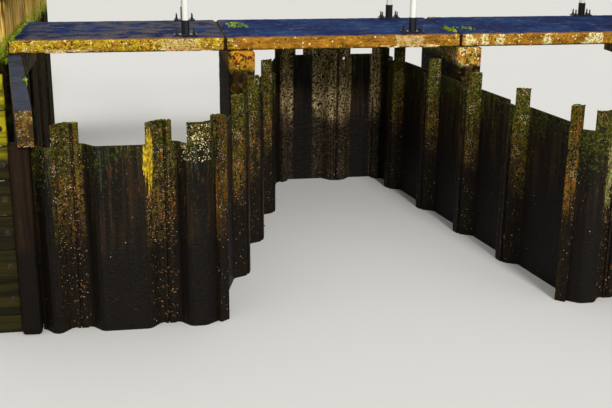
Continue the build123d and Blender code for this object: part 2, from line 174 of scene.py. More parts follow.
class Bench:
    """A node material being wired up, with a short method for each kind of node."""

    def __init__(self, name: str) -> None:
        """Start a material whose patterns follow the object's own coordinates.

        Args:
            name: The material's name.
        """
        self.material = bpy.data.materials.new(name)
        self.material.use_nodes = True
        self.tree = self.material.node_tree
        self.shader = self.tree.nodes["Principled BSDF"]
        self.place = self.add("ShaderNodeTexCoord").outputs["Object"]
        self.x, self.y, self.z = self.add("ShaderNodeSeparateXYZ", Vector=self.place).outputs
        normal = self.add("ShaderNodeNewGeometry").outputs["Normal"]
        self.face_x, _, self.up = self.add("ShaderNodeSeparateXYZ", Vector=normal).outputs

    def feed(self, socket: Socket, value: object) -> None:
        """Link a socket to another, or set it.

        Args:
            socket: The input to feed.
            value: A socket, a value, or None to leave the input as it is.
        """
        if isinstance(value, bpy.types.NodeSocket):
            self.tree.links.new(value, socket)
        elif value is not None:
            socket.default_value = value

    def add(self, kind: str, settings: dict | None = None, **inputs: object) -> bpy.types.Node:
        """Add a node.

        Args:
            kind: Blender's name for the node.
            settings: The node's own options.
            **inputs: What goes into its sockets, with _ for a blank in a name.

        Returns:
            The node.
        """
        node = self.tree.nodes.new(kind)
        for option, value in (settings or {}).items():
            setattr(node, option, value)
        for socket, value in inputs.items():
            self.feed(node.inputs[socket.replace("_", " ")], value)
        return node

    def turn_to(self, origin: Vector, heading: float) -> None:
        """Measure from a point, along and across a wall, instead of along X and Y.

        Args:
            origin: Where the wall starts.
            heading: Angle of the wall from X.
        """
        turned = self.add(
            "ShaderNodeMapping",
            {"vector_type": "TEXTURE"},
            Vector=self.place,
            Location=tuple(origin),
            Rotation=(0.0, 0.0, heading),
        )
        self.place = turned.outputs["Vector"]
        self.x, self.y, self.z = self.add("ShaderNodeSeparateXYZ", Vector=self.place).outputs

    def math(self, operation: str, *values: object) -> Socket:
        """One step of arithmetic.

        Args:
            operation: Blender's name for it.
            *values: Sockets and numbers.

        Returns:
            The result.
        """
        node = self.add("ShaderNodeMath", {"operation": operation})
        for socket, value in zip(node.inputs, values):
            self.feed(socket, value)
        return node.outputs[0]

    def times(self, *values: object) -> Socket:
        """All the values multiplied."""
        return reduce(lambda total, value: self.math("MULTIPLY", total, value), values)

    def plus(self, *values: object) -> Socket:
        """All the values added."""
        return reduce(lambda total, value: self.math("ADD", total, value), values)

    def smooth(self, value: object, low: float, high: float) -> Socket:
        """A soft step.

        Args:
            value: What is measured.
            low: Where the step is 0.
            high: Where it is 1, which may be the smaller of the two.

        Returns:
            From 0 to 1.
        """
        node = self.add("ShaderNodeMapRange", {"interpolation_type": "SMOOTHSTEP"}, Value=value)
        self.feed(node.inputs["From Min"], low)
        self.feed(node.inputs["From Max"], high)
        return node.outputs["Result"]

    def zone(self, value: object, low: float, high: float, soft: float) -> Socket:
        """1 between two places, fading to 0 over a soft edge outside them."""
        return self.times(self.smooth(value, low - soft, low), self.smooth(value, high + soft, high))

    def wander(self, value: object, pattern: Socket, reach: float) -> Socket:
        """A value that a pattern moves up and down, by half a reach each way."""
        return self.plus(value, self.times(self.math("SUBTRACT", pattern, 0.5), reach))

    def stretched(self, stretch: Stretch, shift: float) -> Socket:
        """Coordinates squeezed along an axis, so that a pattern on them runs long that way."""
        node = self.add("ShaderNodeMapping", Vector=self.place, Scale=stretch, Location=(shift, shift, shift))
        return node.outputs["Vector"]

    def noise(self, scale: float, detail: float = 4.0, stretch: Stretch = EVEN, shift: float = 0.0) -> Socket:
        """Cloudy noise from 0 to 1, with scale lumps to the metre."""
        vector = self.stretched(stretch, shift)
        return self.add("ShaderNodeTexNoise", Vector=vector, Scale=scale, Detail=detail).outputs[0]

    def patches(
        self,
        scale: float,
        low: float,
        high: float,
        detail: float = 4.0,
        stretch: Stretch = EVEN,
        shift: float = 0.0,
    ) -> Socket:
        """Soft-edged patches where cloudy noise is strong: 0 up to its low value, 1 from its high one."""
        return self.smooth(self.noise(scale, detail, stretch, shift), low, high)

    def spots(self, scale: float, size: float, share: object, shift: float = 0.0) -> Socket:
        """Scattered spots that thin out where their share is low.

        Args:
            scale: Spots to the metre.
            size: Their radius as a share of their spacing.
            share: How many of them show, from 0 to 1.
            shift: Moves the pattern, so that two patterns don't agree.

        Returns:
            1 on a spot and 0 off it.
        """
        rim = 0.05
        vector = self.stretched(EVEN, shift)
        near = self.add("ShaderNodeTexVoronoi", Vector=vector, Scale=scale).outputs["Distance"]
        wanted = self.math("MULTIPLY", share, size)
        return self.smooth(self.math("SUBTRACT", near, wanted), rim, -rim)

    def mix(self, share: object, first: object, second: object) -> Socket:
        """Blend two colours.

        Args:
            share: How much of the second, from 0 to 1.
            first: A tint or a socket.
            second: A tint or a socket.

        Returns:
            The blend.
        """
        node = self.add("ShaderNodeMix", {"data_type": "RGBA"})
        for index, value in ((0, share), (6, first), (7, second)):
            self.feed(node.inputs[index], value.light if isinstance(value, Tint) else value)
        return node.outputs[2]

    def over(self, colour: Socket, coat: object, mask: object, cover: float = 1.0) -> Socket:
        """Lay a coat over a colour, where a mask from 0 to 1 says and as well as it covers."""
        share = mask if cover == 1.0 else self.times(mask, cover)
        return self.mix(share, colour, coat)

    def relief(self, *layers: tuple[object, float]) -> Socket:
        """Height of a surface in metres: patterns times their depths, added up."""
        return self.plus(*(self.times(pattern, depth) for pattern, depth in layers))

    def finish(
        self,
        colour: Socket,
        roughness: object,
        relief: Socket,
        shine: float = 0.25,
    ) -> bpy.types.Material:
        """Wire the shader.

        Args:
            colour: Base colour.
            roughness: A number or a socket.
            relief: Height of the surface in metres.
            shine: How strongly it reflects, the same all over.

        Returns:
            The material.
        """
        bump = self.add("ShaderNodeBump", Height=relief, Strength=1.0, Distance=1.0)
        self.feed(self.shader.inputs["Base Color"], colour)
        self.feed(self.shader.inputs["Roughness"], roughness)
        self.feed(self.shader.inputs["Normal"], bump.outputs["Normal"])
        self.shader.inputs["Specular IOR Level"].default_value = shine
        return self.material


@dataclass(frozen=True)
class WallLine:
    """The line of a run of piles: where one slit is, which way it runs and how far apart slits are."""

    slit: Vector
    heading: float
    pitch: float

    @classmethod
    def through(cls, first: str, last: str, pitches: int) -> "WallLine":
        """Line of a run of like piles.

        Args:
            first: Name of one pile.
            last: Name of another.
            pitches: How many piles on it stands.

        Returns:
            The line through their middles.
        """
        low, high = (sum(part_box(name), Vector()) / 2 for name in (first, last))
        run = high - low
        run.z = 0
        pitch = run.length / pitches
        slit = low - run.normalized() * (pitch / 2)
        slit.z = 0
        return cls(slit, math.atan2(run.y, run.x), pitch)

    @classmethod
    def along_x(cls, pile: str) -> "WallLine":
        """Line of a run along X.

        Args:
            pile: Name of one of its piles.

        Returns:
            The line from that pile's two ends.
        """
        low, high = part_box(pile)
        pitch = high.x - low.x - 2 * CLUTCH_REACH
        return cls(Vector((low.x + CLUTCH_REACH, 0, 0)), 0.0, pitch)

    def offsets(self, places: np.ndarray) -> np.ndarray:
        """How far along the wall each place lies from the nearest slit.

        Args:
            places: Points in space.

        Returns:
            Distances, negative before the slit.
        """
        along = np.array([math.cos(self.heading), math.sin(self.heading)])
        run = (places[:, :2] - np.array(self.slit.xy)) @ along
        return (run + self.pitch / 2) % self.pitch - self.pitch / 2


@dataclass(frozen=True)
class WetSteel:
    """Steel of the crest wall: black below the notches, brown and speckled below the lands."""

    name: str
    line: WallLine
    lands: tuple[float, float]
    algae: float = 0.5
    rusty: float = 0.5
    # Strength of rust streaks and orange crust at the seams, and of painted shade on faces turned towards +X
    streaks_and_side_shade: float = 0.0
    crust: Tint = Tint.OLIVE_BROWN
    dimmed: float = 0.75
    fade: float = 0.02
    # Heights over which the wall turns black low down: partly wetness, partly painted shade
    soaked_and_shaded: tuple[float, float] = (0.78, 0.44)

    def column(self, b: Bench) -> Socket | float:
        """Where the lands stand above.

        Args:
            b: The bench.

        Returns:
            1 below the lands and 0 below the notches.
        """
        low, high = self.lands
        if high - low >= self.line.pitch:
            return 1.0
        lead = 2 * self.fade
        along = b.math("WRAP", b.x, self.line.pitch + low - lead, low - lead)
        return b.zone(along, low, high, self.fade)

    def ground(self, b: Bench, column: Socket | float, runs: Socket, mottle: Socket, gold: Socket) -> Socket:
        """Colour of the steel itself.

        Args:
            b: The bench.
            column: Where the lands stand above.
            runs: Streaks down the wall.
            mottle: Fine blotches.
            gold: Yellow spots.

        Returns:
            Black steel below the notches, and mottled crust below the lands.
        """
        above = b.smooth(b.z, SILL - 0.02, SILL + 0.03)
        wet = b.mix(b.times(b.smooth(runs, 0.42, 0.7), 0.7), Tint.BLACK_WET, Tint.BROWN_WET)
        dry = b.mix(b.smooth(mottle, 0.42, 0.56), Tint.BLACK_WET, self.crust)
        dry = b.over(dry, Tint.SLIME_DARK, gold, 0.7)
        dry = b.over(dry, Tint.BLACK_WET, b.smooth(runs, 0.5, 0.58), self.dimmed)
        dry = b.over(dry, Tint.BROWN_WET, b.patches(16, 0.5, 0.64, 4, upright(0.6), 15.0), self.dimmed)
        return b.mix(b.times(b.math("MAXIMUM", column, above), 0.92), wet, dry)

    def algae_mask(self, b: Bench, column: Socket | float, broad: Socket, mottle: Socket) -> Socket:
        """Where green grows: more of it towards the crest and below the lands."""
        lift = b.times(b.smooth(b.z, 0.55, 1.2), self.algae, b.plus(0.62, b.times(column, 0.38)))
        return b.smooth(b.wander(b.plus(lift, b.times(broad, 0.6)), mottle, 1.2), 0.5, 0.78)

    def rust_mask(self, b: Bench, column: Socket | float, from_slit: Socket) -> Socket:
        """Where rust shows.

        Args:
            b: The bench.
            column: Where the lands stand above.
            from_slit: Distance from the nearest slit.

        Returns:
            Scabs on the wall, and streaks at the slits.
        """
        slit = b.smooth(from_slit, 0.024, 0.008)
        scabs = b.plus(b.noise(42, 4, upright(0.3), 3.0), b.times(column, self.rusty, 0.08))
        scabs = b.times(b.smooth(scabs, 0.62, 0.7), b.plus(0.25, b.times(column, 0.5)))
        streak = b.patches(80, 0.46, 0.6, 4, upright(0.05), 5.0)
        seam = b.times(b.math("MAXIMUM", slit, self.streaks_and_side_shade), streak, b.patches(9, 0.4, 0.56, 3, shift=9.0))
        return b.math("MAXIMUM", scabs, seam)

    def pale_spots(self, b: Bench, column: Socket | float) -> Socket:
        """Where pale specks crowd.

        Args:
            b: The bench.
            column: Where the lands stand above.

        Returns:
            1 on a speck.
        """
        high = b.smooth(b.z, 0.9, 1.15)
        crowd = b.math("MINIMUM", b.plus(0.15, b.times(column, 0.6), b.times(high, 0.5)), 0.95)
        return b.spots(80, 0.45, b.times(b.patches(12, 0.46, 0.66, 3, shift=11.0), crowd))

    def material(self) -> bpy.types.Material:
        """Wire the finish.

        Returns:
            The material.
        """
        b = Bench(self.name)
        b.turn_to(self.line.slit, self.line.heading)
        column = self.column(b)
        from_slit = b.math("PINGPONG", b.x, self.line.pitch / 2)
        runs = b.noise(34, 5, upright(0.06))
        broad = b.noise(7, 4, upright(0.4))
        mottle = b.noise(70, 3)
        gold = b.spots(95, 0.55, b.patches(20, 0.4, 0.62, 3, shift=7.0), 2.0)

        colour = self.ground(b, column, runs, mottle, gold)
        growth = self.algae_mask(b, column, broad, mottle)
        green = b.mix(b.patches(60, 0.42, 0.6, shift=2.0), Tint.MOSS_DARK, Tint.OLIVE)
        colour = b.over(colour, green, growth, 0.75)
        rusty = self.rust_mask(b, column, from_slit)
        rust = b.mix(b.smooth(mottle, 0.4, 0.66), Tint.RUST, Tint.RUST_LIGHT)
        rust = b.mix(self.streaks_and_side_shade * 0.5, rust, Tint.ORANGE_CRUST)
        colour = b.over(colour, rust, rusty, 0.85)
        pale = self.pale_spots(b, column)
        colour = b.over(colour, Tint.SHELL, pale, 0.6)
        # Black low on the wall: partly wet steel, partly painted shade
        colour = b.over(colour, Tint.BLACK_WET, b.smooth(b.wander(b.z, broad, 0.5), *self.soaked_and_shaded), 0.94)
        # Painted shade: black in the slits between piles, and on post faces turned towards +X
        slit_shade = b.smooth(from_slit, 0.011, 0.005)
        turned = b.times(b.smooth(b.face_x, 0.35, 0.6), self.streaks_and_side_shade)
        slit_and_side_shade = b.math("MAXIMUM", b.times(slit_shade, 0.85), b.times(turned, 0.7))
        colour = b.over(colour, Tint.BLACK_WET, slit_and_side_shade)
        cap = b.mix(b.smooth(mottle, 0.4, 0.6), Tint.BROWN_WET, Tint.MOSS_DARK)
        colour = b.over(colour, cap, b.smooth(b.up, 0.6, 0.9))

        rough = b.plus(0.5, b.times(growth, 0.3), b.times(rusty, 0.3), b.times(column, 0.2))
        lumps = b.times(growth, b.noise(90, 3))
        crusts = ((gold, 0.002), (lumps, 0.005), (rusty, 0.003), (pale, 0.003))
        relief = b.relief((b.noise(190, 3), 0.002), (mottle, 0.007), (runs, 0.003), *crusts)
        return b.finish(colour, rough, relief, 0.1)


@dataclass(frozen=True)
class BankSteel:
    """Bank piles: pale and streaked high up, dark and green low down."""

    name: str = "bank_steel"
    moss_line: float = WET_LINE + 0.12

    def material(self) -> bpy.types.Material:
        """Wire the finish.

        Returns:
            The material.
        """
        b = Bench(self.name)
        runs = b.noise(30, 5, upright(0.06))
        thin = b.noise(75, 3, upright(0.03), 2.0)
        colour = b.mix(b.smooth(runs, 0.42, 0.54), Tint.BANK_GREY, Tint.BANK_PALE)
        colour = b.over(colour, Tint.BANK_DARK, b.smooth(thin, 0.53, 0.6), 0.9)
        colour = b.over(colour, Tint.BANK_DARK, b.patches(4, 0.55, 0.7, 4, upright(0.5), 5.0), 0.6)
        rusty = b.patches(24, 0.62, 0.7, 4, upright(0.1), 9.0)
        colour = b.over(colour, Tint.RUST_LIGHT, rusty, 0.6)
        edge = b.wander(b.z, b.noise(11, 4), 0.18)
        moss = b.zone(edge, self.moss_line, self.moss_line + 0.1, 0.06)
        below = b.smooth(edge, self.moss_line + 0.08, self.moss_line - 0.04)
        wet = b.mix(b.smooth(runs, 0.44, 0.66), Tint.BLACK_WET, Tint.BROWN_WET)
        wet = b.over(wet, Tint.MOSS_DARK, b.patches(17, 0.5, 0.7), 0.7)
        colour = b.mix(below, colour, wet)
        colour = b.over(colour, Tint.MOSS, b.times(moss, b.patches(45, 0.42, 0.6, 3)))
        relief = b.relief((b.noise(120, 3), 0.002), (runs, 0.003), (thin, 0.003), (rusty, 0.002))
        return b.finish(colour, b.plus(0.88, b.times(below, 0.08)), relief, 0.04)


@dataclass(frozen=True)
class LedgeSteel:
    """Rusted rolled steel of the bearing angle."""

    name: str = "ledge_steel"

    def material(self) -> bpy.types.Material:
        """Wire the finish.

        Returns:
            The material.
        """
        b = Bench(self.name)
        fine = b.noise(180, 4)
        scale = b.patches(35, 0.42, 0.62)
        colour = b.mix(scale, Tint.BROWN_WET, Tint.RUST)
        colour = b.over(colour, Tint.RUST_LIGHT, b.smooth(fine, 0.55, 0.75))
        return b.finish(colour, b.plus(0.55, b.times(scale, 0.25)), b.relief((b.plus(fine, scale), 0.0012)))


@dataclass(frozen=True)
class SlabConcrete:
    """Footbridge concrete: crusted ochre edges, a dark wet deck with a painted blue sky reflection, and a
    green underside.
    """

    name: str = "slab_concrete"
    crusted: tuple[tuple[float, float], ...] = CRUSTED

    def thick(self, b: Bench) -> Socket:
        """Where thick crust lies on the edges.

        Args:
            b: The bench.

        Returns:
            1 in the crusted stretches, which have uneven borders.
        """
        along = b.wander(b.x, b.noise(22, 3, shift=13.0), 0.12)
        total: Socket | float = 0.0
        for middle, half in self.crusted:
            total = b.math("MAXIMUM", total, b.zone(along, middle - half, middle + half, 0.02))
        return b.times(total, b.patches(70, 0.36, 0.5, 3, shift=8.0))

    def edge(self, b: Bench, blotch: Socket, grain: Socket, *ends: Socket) -> tuple[Socket, ...]:
        """The upright faces.

        Args:
            b: The bench.
            blotch: Blotches that the whole slab shares.
            grain: Fine pores.
            *ends: 1 on the left slab, and 1 on the right one.

        Returns:
            Their colour, and where yellow crust, white crust and pits are.
        """
        left, right = ends
        colour = b.mix(b.smooth(blotch, 0.36, 0.64), Tint.OCHRE, Tint.GOLD)
        colour = b.over(colour, Tint.LEFT_EDGE, b.times(left, b.patches(11, 0.36, 0.6, 3, shift=5.0)), 0.8)
        colour = b.over(colour, Tint.BROWN_EDGE, b.patches(55, 0.48, 0.66, 3, (0.1, 0.1, 1.0)), 0.75)
        colour = b.over(colour, Tint.PIT, b.smooth(grain, 0.54, 0.66), 0.65)
        lush = b.plus(0.1, b.times(left, 0.36), b.times(right, 0.08))
        crowd = b.smooth(b.plus(b.noise(24, 4, shift=2.0), b.times(lush, 0.4)), 0.58, 0.74)
        crust = b.spots(70, 0.6, crowd)
        colour = b.over(colour, Tint.YELLOW_CRUST, crust, 0.85)
        crowd = b.smooth(b.plus(b.noise(21, 3, shift=6.0), b.times(lush, 0.24)), 0.62, 0.8)
        cover = b.plus(0.36, b.times(right, 0.64))
        white = b.times(b.spots(85, 0.5, crowd, 4.0), 0.9)
        white = b.math("MAXIMUM", white, b.times(self.thick(b), cover))
        pale = b.mix(b.patches(60, 0.36, 0.5, 2, shift=17.0), Tint.YELLOW_CRUST, Tint.WHITE_CRUST)
        colour = b.over(colour, pale, white)
        pitted = b.times(b.patches(26, 0.42, 0.6, 2, shift=8.0), b.plus(0.6, b.times(left, 0.4)))
        pits = b.spots(58, 0.34, pitted, 9.0)
        colour = b.over(colour, Tint.PIT, pits, 0.85)
        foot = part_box("middle_slab")[0].z
        stained = b.smooth(b.wander(b.z, blotch, 0.05), foot + 0.022, foot + 0.004)
        return b.over(colour, Tint.BROWN_EDGE, stained, 0.6), crust, white, pits

    def deck(self, b: Bench, blotch: Socket, broad: Socket, left: Socket, grit: Socket) -> Socket:
        """Colour of the walkway.

        Args:
            b: The bench.
            blotch: Blotches that the whole slab shares.
            broad: Large blotches, light where the slab dries.
            left: 1 on the left slab.
            grit: Specks of grit.

        Returns:
            Blue-grey, dirty on the left and ochre along both lips.
        """
        low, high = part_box("middle_slab")
        # The deck's blue is a painted sky reflection on dark wet concrete
        colour = b.mix(b.smooth(broad, 0.38, 0.68), Tint.WET_SLAB, Tint.DRY_SLAB)
        worn = b.smooth(b.plus(b.times(left, 0.16), b.noise(8, 5, shift=4.0)), 0.55, 0.74)
        colour = b.over(colour, Tint.SLAB_DIRT, b.times(worn, b.plus(0.5, b.times(left, 0.25))))
        colour = b.over(colour, Tint.CHALK, grit, 0.3)
        from_middle = b.math("ABSOLUTE", b.math("SUBTRACT", b.y, (low.y + high.y) / 2))
        from_lip = b.math("SUBTRACT", (high.y - low.y) / 2, from_middle)
        lip = b.smooth(b.wander(from_lip, blotch, 0.05), 0.03, 0.008)
        return b.over(colour, Tint.OCHRE, lip, 0.7)

    def material(self) -> bpy.types.Material:
        """Wire the finish.

        Returns:
            The material.
        """
        b = Bench(self.name)
        low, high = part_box("middle_slab")
        blotch = b.noise(14, 4)
        grain = b.noise(80, 3, (0.5, 0.5, 1.0), 1.0)
        broad = b.noise(3, 5, shift=1.0)
        left = b.smooth(b.x, low.x + 0.1, low.x - 0.05)
        right = b.smooth(b.x, high.x - 0.02, high.x + 0.04)
        grit = b.spots(120, 0.36, b.patches(12, 0.48, 0.66, 3, shift=3.0), 2.0)

        colour, crust, white, pits = self.edge(b, blotch, grain, left, right)
        under = b.mix(b.patches(10, 0.4, 0.64, 5, (1.0, 0.3, 1.0)), Tint.SOFFIT_DARK, Tint.SOFFIT)
        under = b.over(under, Tint.MOSS, b.patches(40, 0.58, 0.72, 3), 0.6)
        facing_up = b.smooth(b.up, 0.55, 0.85)
        # Painted shade: the slab sides that face into the joints are darkened as if shaded
        joint_side_shade = b.smooth(b.math("ABSOLUTE", b.face_x), 0.45, 0.75)
        colour = b.over(colour, Tint.PIT, joint_side_shade, 0.85)
        colour = b.over(colour, self.deck(b, blotch, broad, left, grit), facing_up)
        colour = b.over(colour, under, b.smooth(b.up, -0.55, -0.85))

        rough = b.plus(0.88, b.times(facing_up, b.smooth(broad, 0.7, 0.35), -0.15))
        crusts = ((crust, 0.002), (white, 0.003), (pits, -0.004), (grit, 0.0006))
        relief = b.relief((b.noise(200, 3), 0.0016), (grain, -0.003), (blotch, 0.003), *crusts)
        return b.finish(colour, rough, relief, 0.03)


@dataclass(frozen=True)
class PierConcrete:
    """Pier concrete: orange and white crust high up, dark and slimy low down."""

    name: str
    white: float
    seed: float

    def material(self) -> bpy.types.Material:
        """Wire the finish.

        Returns:
            The material.
        """
        b = Bench(self.name)
        blotch = b.noise(16, 4, shift=self.seed)
        colour = b.mix(b.smooth(blotch, 0.36, 0.6), Tint.OCHRE, Tint.ORANGE_CRUST)
        yellow = b.spots(70, 0.6, b.patches(22, 0.42, 0.6, 3, shift=self.seed + 1), self.seed)
        colour = b.over(colour, Tint.YELLOW_CRUST, yellow, 0.7)
        chalky = b.smooth(b.plus(b.noise(26, 3, shift=self.seed + 2), self.white), 0.56, 0.8)
        white = b.spots(80, 0.66, chalky, self.seed + 3)
        colour = b.over(colour, Tint.WHITE_CRUST, white, 0.9)
        pits = b.spots(50, 0.55, b.patches(22, 0.44, 0.6, 3, shift=5.0), 6.0)
        colour = b.over(colour, Tint.PIT, pits, 0.85)
        edge = b.wander(b.z, b.noise(18, 4, shift=3.0), 0.06)
        below = b.smooth(edge, WET_LINE + 0.01, WET_LINE - 0.02)
        runs = b.noise(24, 4, upright(0.1))
        wet = b.mix(b.smooth(runs, 0.38, 0.62), Tint.BLACK_WET, Tint.BROWN_WET)
        wet = b.over(wet, Tint.OLIVE_BROWN, b.patches(30, 0.5, 0.66), 0.7)
        colour = b.mix(below, colour, wet)
        green = b.times(b.zone(edge, WET_LINE - 0.01, WET_LINE + 0.03, 0.02), b.patches(50, 0.52, 0.64, 3))
        colour = b.over(colour, Tint.OLIVE, green, 0.8)
        rough = b.plus(0.85, b.times(below, -0.05))
        crusts = ((white, 0.004), (pits, -0.005), (b.times(below, runs), 0.002))
        relief = b.relief((b.noise(200, 3), 0.0015), (blotch, 0.004), *crusts)
        return b.finish(colour, rough, relief, 0.05)


@dataclass(frozen=True)
class CapConcrete:
    """Smooth concrete of the cap beams and copings, with a painted slate-blue sky reflection on its tops and
    crust on its ends.
    """

    name: str = "cap_concrete"

    def material(self) -> bpy.types.Material:
        """Wire the finish.

        Returns:
            The material.
        """
        b = Bench(self.name)
        broad = b.noise(7, 5)
        # The tops' slate blue is a painted sky reflection on wet concrete
        top = b.mix(b.smooth(broad, 0.36, 0.64), Tint.SLATE_DARK, Tint.SLATE)
        top = b.over(top, Tint.CHALK, b.spots(170, 0.34, b.patches(15, 0.45, 0.62, 3)), 0.2)
        side = b.mix(b.patches(12, 0.55, 0.78, 4, upright(0.3)), Tint.BANK_DARK, Tint.BANK_GREY)
        gold = b.spots(90, 0.5, b.patches(16, 0.42, 0.6, 3, shift=4.0), 5.0)
        side = b.over(side, Tint.OCHRE, gold, 0.6)
        specks = b.spots(140, 0.42, b.patches(18, 0.44, 0.64, 3, shift=2.0), 3.0)
        side = b.over(side, Tint.WHITE_CRUST, specks, 0.45)
        facing_up = b.smooth(b.up, 0.5, 0.85)
        colour = b.mix(facing_up, side, top)
        rough = b.plus(0.85, b.times(facing_up, -0.2))
        relief = b.relief((b.noise(230, 3), 0.0014), (broad, 0.003), (specks, 0.003), (gold, 0.002))
        return b.finish(colour, rough, relief, 0.15)


@dataclass(frozen=True)
class WetTimber:
    """Grained timber, between a dark and a light tint, with algae in its grain."""

    name: str
    dark: Tint
    light: Tint
    grain_axis: int
    wet_and_shaded_below: float = 0.5
    fade: float = 0.06

    def material(self) -> bpy.types.Material:
        """Wire the finish.

        Returns:
            The material.
        """
        b = Bench(self.name)
        stretch = tuple(0.05 if axis == self.grain_axis else 1.0 for axis in range(3))
        grain = b.noise(120, 5, stretch)
        rings = b.noise(22, 3, stretch, 4.0)
        stain = b.noise(6, 4, shift=2.0)
        colour = b.mix(b.smooth(rings, 0.35, 0.62), self.dark, self.light)
        colour = b.over(colour, self.dark, b.smooth(grain, 0.55, 0.72), 0.6)
        colour = b.over(colour, Tint.MOSS_DARK, b.smooth(stain, 0.56, 0.72), 0.4)
        # Black below a height: wet wood, and on the boards partly painted shade
        level = b.wander(b.z, stain, 0.2)
        below = b.smooth(level, self.wet_and_shaded_below + self.fade, self.wet_and_shaded_below - self.fade)
        colour = b.over(colour, Tint.BLACK_WET, below, 0.95)
        relief = b.relief((grain, 0.004), (rings, 0.004))
        return b.finish(colour, b.plus(0.7, b.times(below, -0.1)), relief, 0.08)


@dataclass(frozen=True)
class Paint:
    """Gloss paint on steel, chalked, dirtied and chipped."""

    name: str
    coat: Tint
    dirt: Tint
    wear: float
    gloss: float

    def material(self) -> bpy.types.Material:
        """Wire the finish.

        Returns:
            The material.
        """
        b = Bench(self.name)
        runs = b.noise(60, 4, upright(0.1))
        colour = b.mix(b.times(b.smooth(runs, 0.5, 0.75), 0.55), self.coat, self.dirt)
        chips = b.spots(70, 0.5, b.smooth(b.plus(b.noise(25, 3, shift=3.0), self.wear), 0.62, 0.75))
        colour = b.over(colour, Tint.RUST, chips, 0.8)
        relief = b.relief((b.noise(260, 3), 0.0004), (chips, -0.0006), (runs, 0.0006))
        return b.finish(colour, b.plus(self.gloss, b.times(chips, 0.35)), relief, 0.4)


@dataclass(frozen=True)
class Growth:
    """Moss, crust, shell, slime or scale: two tints in small lumps, with a third in patches."""

    name: str
    dark: Tint
    light: Tint
    patch: Tint
    lumps: float = 120.0
    dull: float = 0.85
    depth: float = 0.002

    def material(self) -> bpy.types.Material:
        """Wire the finish.

        Returns:
            The material.
        """
        b = Bench(self.name)
        lumps = b.noise(self.lumps, 4)
        colour = b.mix(b.smooth(lumps, 0.38, 0.62), self.dark, self.light)
        colour = b.over(colour, self.patch, b.patches(self.lumps / 9, 0.52, 0.66, 3, shift=3.0), 0.7)
        return b.finish(colour, self.dull, b.relief((lumps, self.depth)))


def fresh() -> None:
    """Leave edit mode's work alone: deselect every object before the next operator."""
    bpy.ops.object.select_all(action="DESELECT")


def newest(name: str) -> bpy.types.Object:
    """Name the primitive that was just added, and put its place into its mesh.

    Args:
        name: Its name.

    Returns:
        The primitive.
    """
    made = bpy.context.active_object
    made.name = name
    bpy.ops.object.transform_apply(location=True, rotation=True, scale=True)
    return made


def pick(piece: bpy.types.Object, test: Callable[[Vector, Vector], bool]) -> None:
    """Select the faces of a mesh whose centre and normal pass a test, and go to edit mode.

    Args:
        piece: The piece.
        test: Says of a face's centre and normal whether it is wanted.
    """
    mesh = piece.data
    for part in (mesh.vertices, mesh.edges, mesh.polygons):
        part.foreach_set("select", [False] * len(part))
    for face in mesh.polygons:
        face.select = test(face.center, face.normal)
    bpy.ops.object.mode_set(mode="EDIT")
    bpy.ops.mesh.select_mode(type="FACE")


def whole() -> None:
    """Go to edit mode with all of the active mesh selected."""
    bpy.ops.object.mode_set(mode="EDIT")
    bpy.ops.mesh.select_all(action="SELECT")


def done() -> None:
    """Leave edit mode."""
    bpy.ops.object.mode_set(mode="OBJECT")


def apply_all(piece: bpy.types.Object) -> None:
    """Apply a piece's modifiers in order.

    Args:
        piece: The piece.
    """
    fresh()
    piece.select_set(True)
    bpy.context.view_layer.objects.active = piece
    for modifier in list(piece.modifiers):
        bpy.ops.object.modifier_apply(modifier=modifier.name)


def joined(name: str, pieces: Sequence[bpy.types.Object]) -> bpy.types.Object:
    """Join several pieces into one mesh.

    Args:
        name: The new piece's name.
        pieces: The pieces, of which the first one stays.

    Returns:
        The new piece.
    """
    fresh()
    for piece in pieces:
        piece.select_set(True)
    bpy.context.view_layer.objects.active = pieces[0]
    if len(pieces) > 1:
        bpy.ops.object.join()
    pieces[0].name = name
    return pieces[0]


def copied(piece: bpy.types.Object, shift: Vector) -> bpy.types.Object:
    """Copy a piece, with a mesh of its own, some way off.

    Args:
        piece: The piece.
        shift: How far off.

    Returns:
        The copy.
    """
    twin = piece.copy()
    twin.data = piece.data.copy()
    twin.data.transform(Matrix.Translation(shift))
    bpy.context.collection.objects.link(twin)
    return twin


def repeated(name: str, piece: bpy.types.Object, steps: Sequence[Vector]) -> bpy.types.Object:
    """Repeat a piece at steps from where it stands, and join all of them."""
    copies = [copied(piece, step) for step in steps if step.length > 0]
    return joined(name, [piece, *copies])


def cylinder(
    name: str,
    sides: int,
    radius: float,
    height: float,
    middle: Vector,
    turn: tuple[float, float, float] = (0.0, 0.0, 0.0),
) -> bpy.types.Object:
    """Make a cylinder.

    Args:
        name: Its name.
        sides: How many flat sides it has.
        radius: Its radius.
        height: Its height.
        middle: Where its middle is.
        turn: How it is turned from upright.

    Returns:
        The cylinder.
    """
    bpy.ops.mesh.primitive_cylinder_add(
        vertices=sides, radius=radius, depth=height, location=middle, rotation=turn
    )
    return newest(name)


def roughen(piece: bpy.types.Object, label: str, size: float, depth: float, group: str = "") -> None:
    """Wear a mesh down unevenly.

    Args:
        piece: The mesh.
        label: Name of the wear.
        size: How wide its hollows are.
        depth: How deep they go at most.
        group: The vertices that wear, or all of them.
    """
    clouds = bpy.data.textures.new(f"{piece.name}_{label}", type="CLOUDS")
    clouds.noise_scale = size
    clouds.noise_depth = 2
    push = piece.modifiers.new(label, "DISPLACE")
    push.texture = clouds
    push.texture_coords = "LOCAL"
    push.strength = depth
    push.mid_level = 1.0
    push.vertex_group = group


def dress(piece: bpy.types.Object, material: bpy.types.Material) -> None:
    """Give a piece or a solid its material.

    Args:
        piece: The piece or solid.
        material: Its material.
    """
    if piece.material_slots:
        for place in piece.material_slots:
            place.material = material
    else:
        piece.data.materials.append(material)


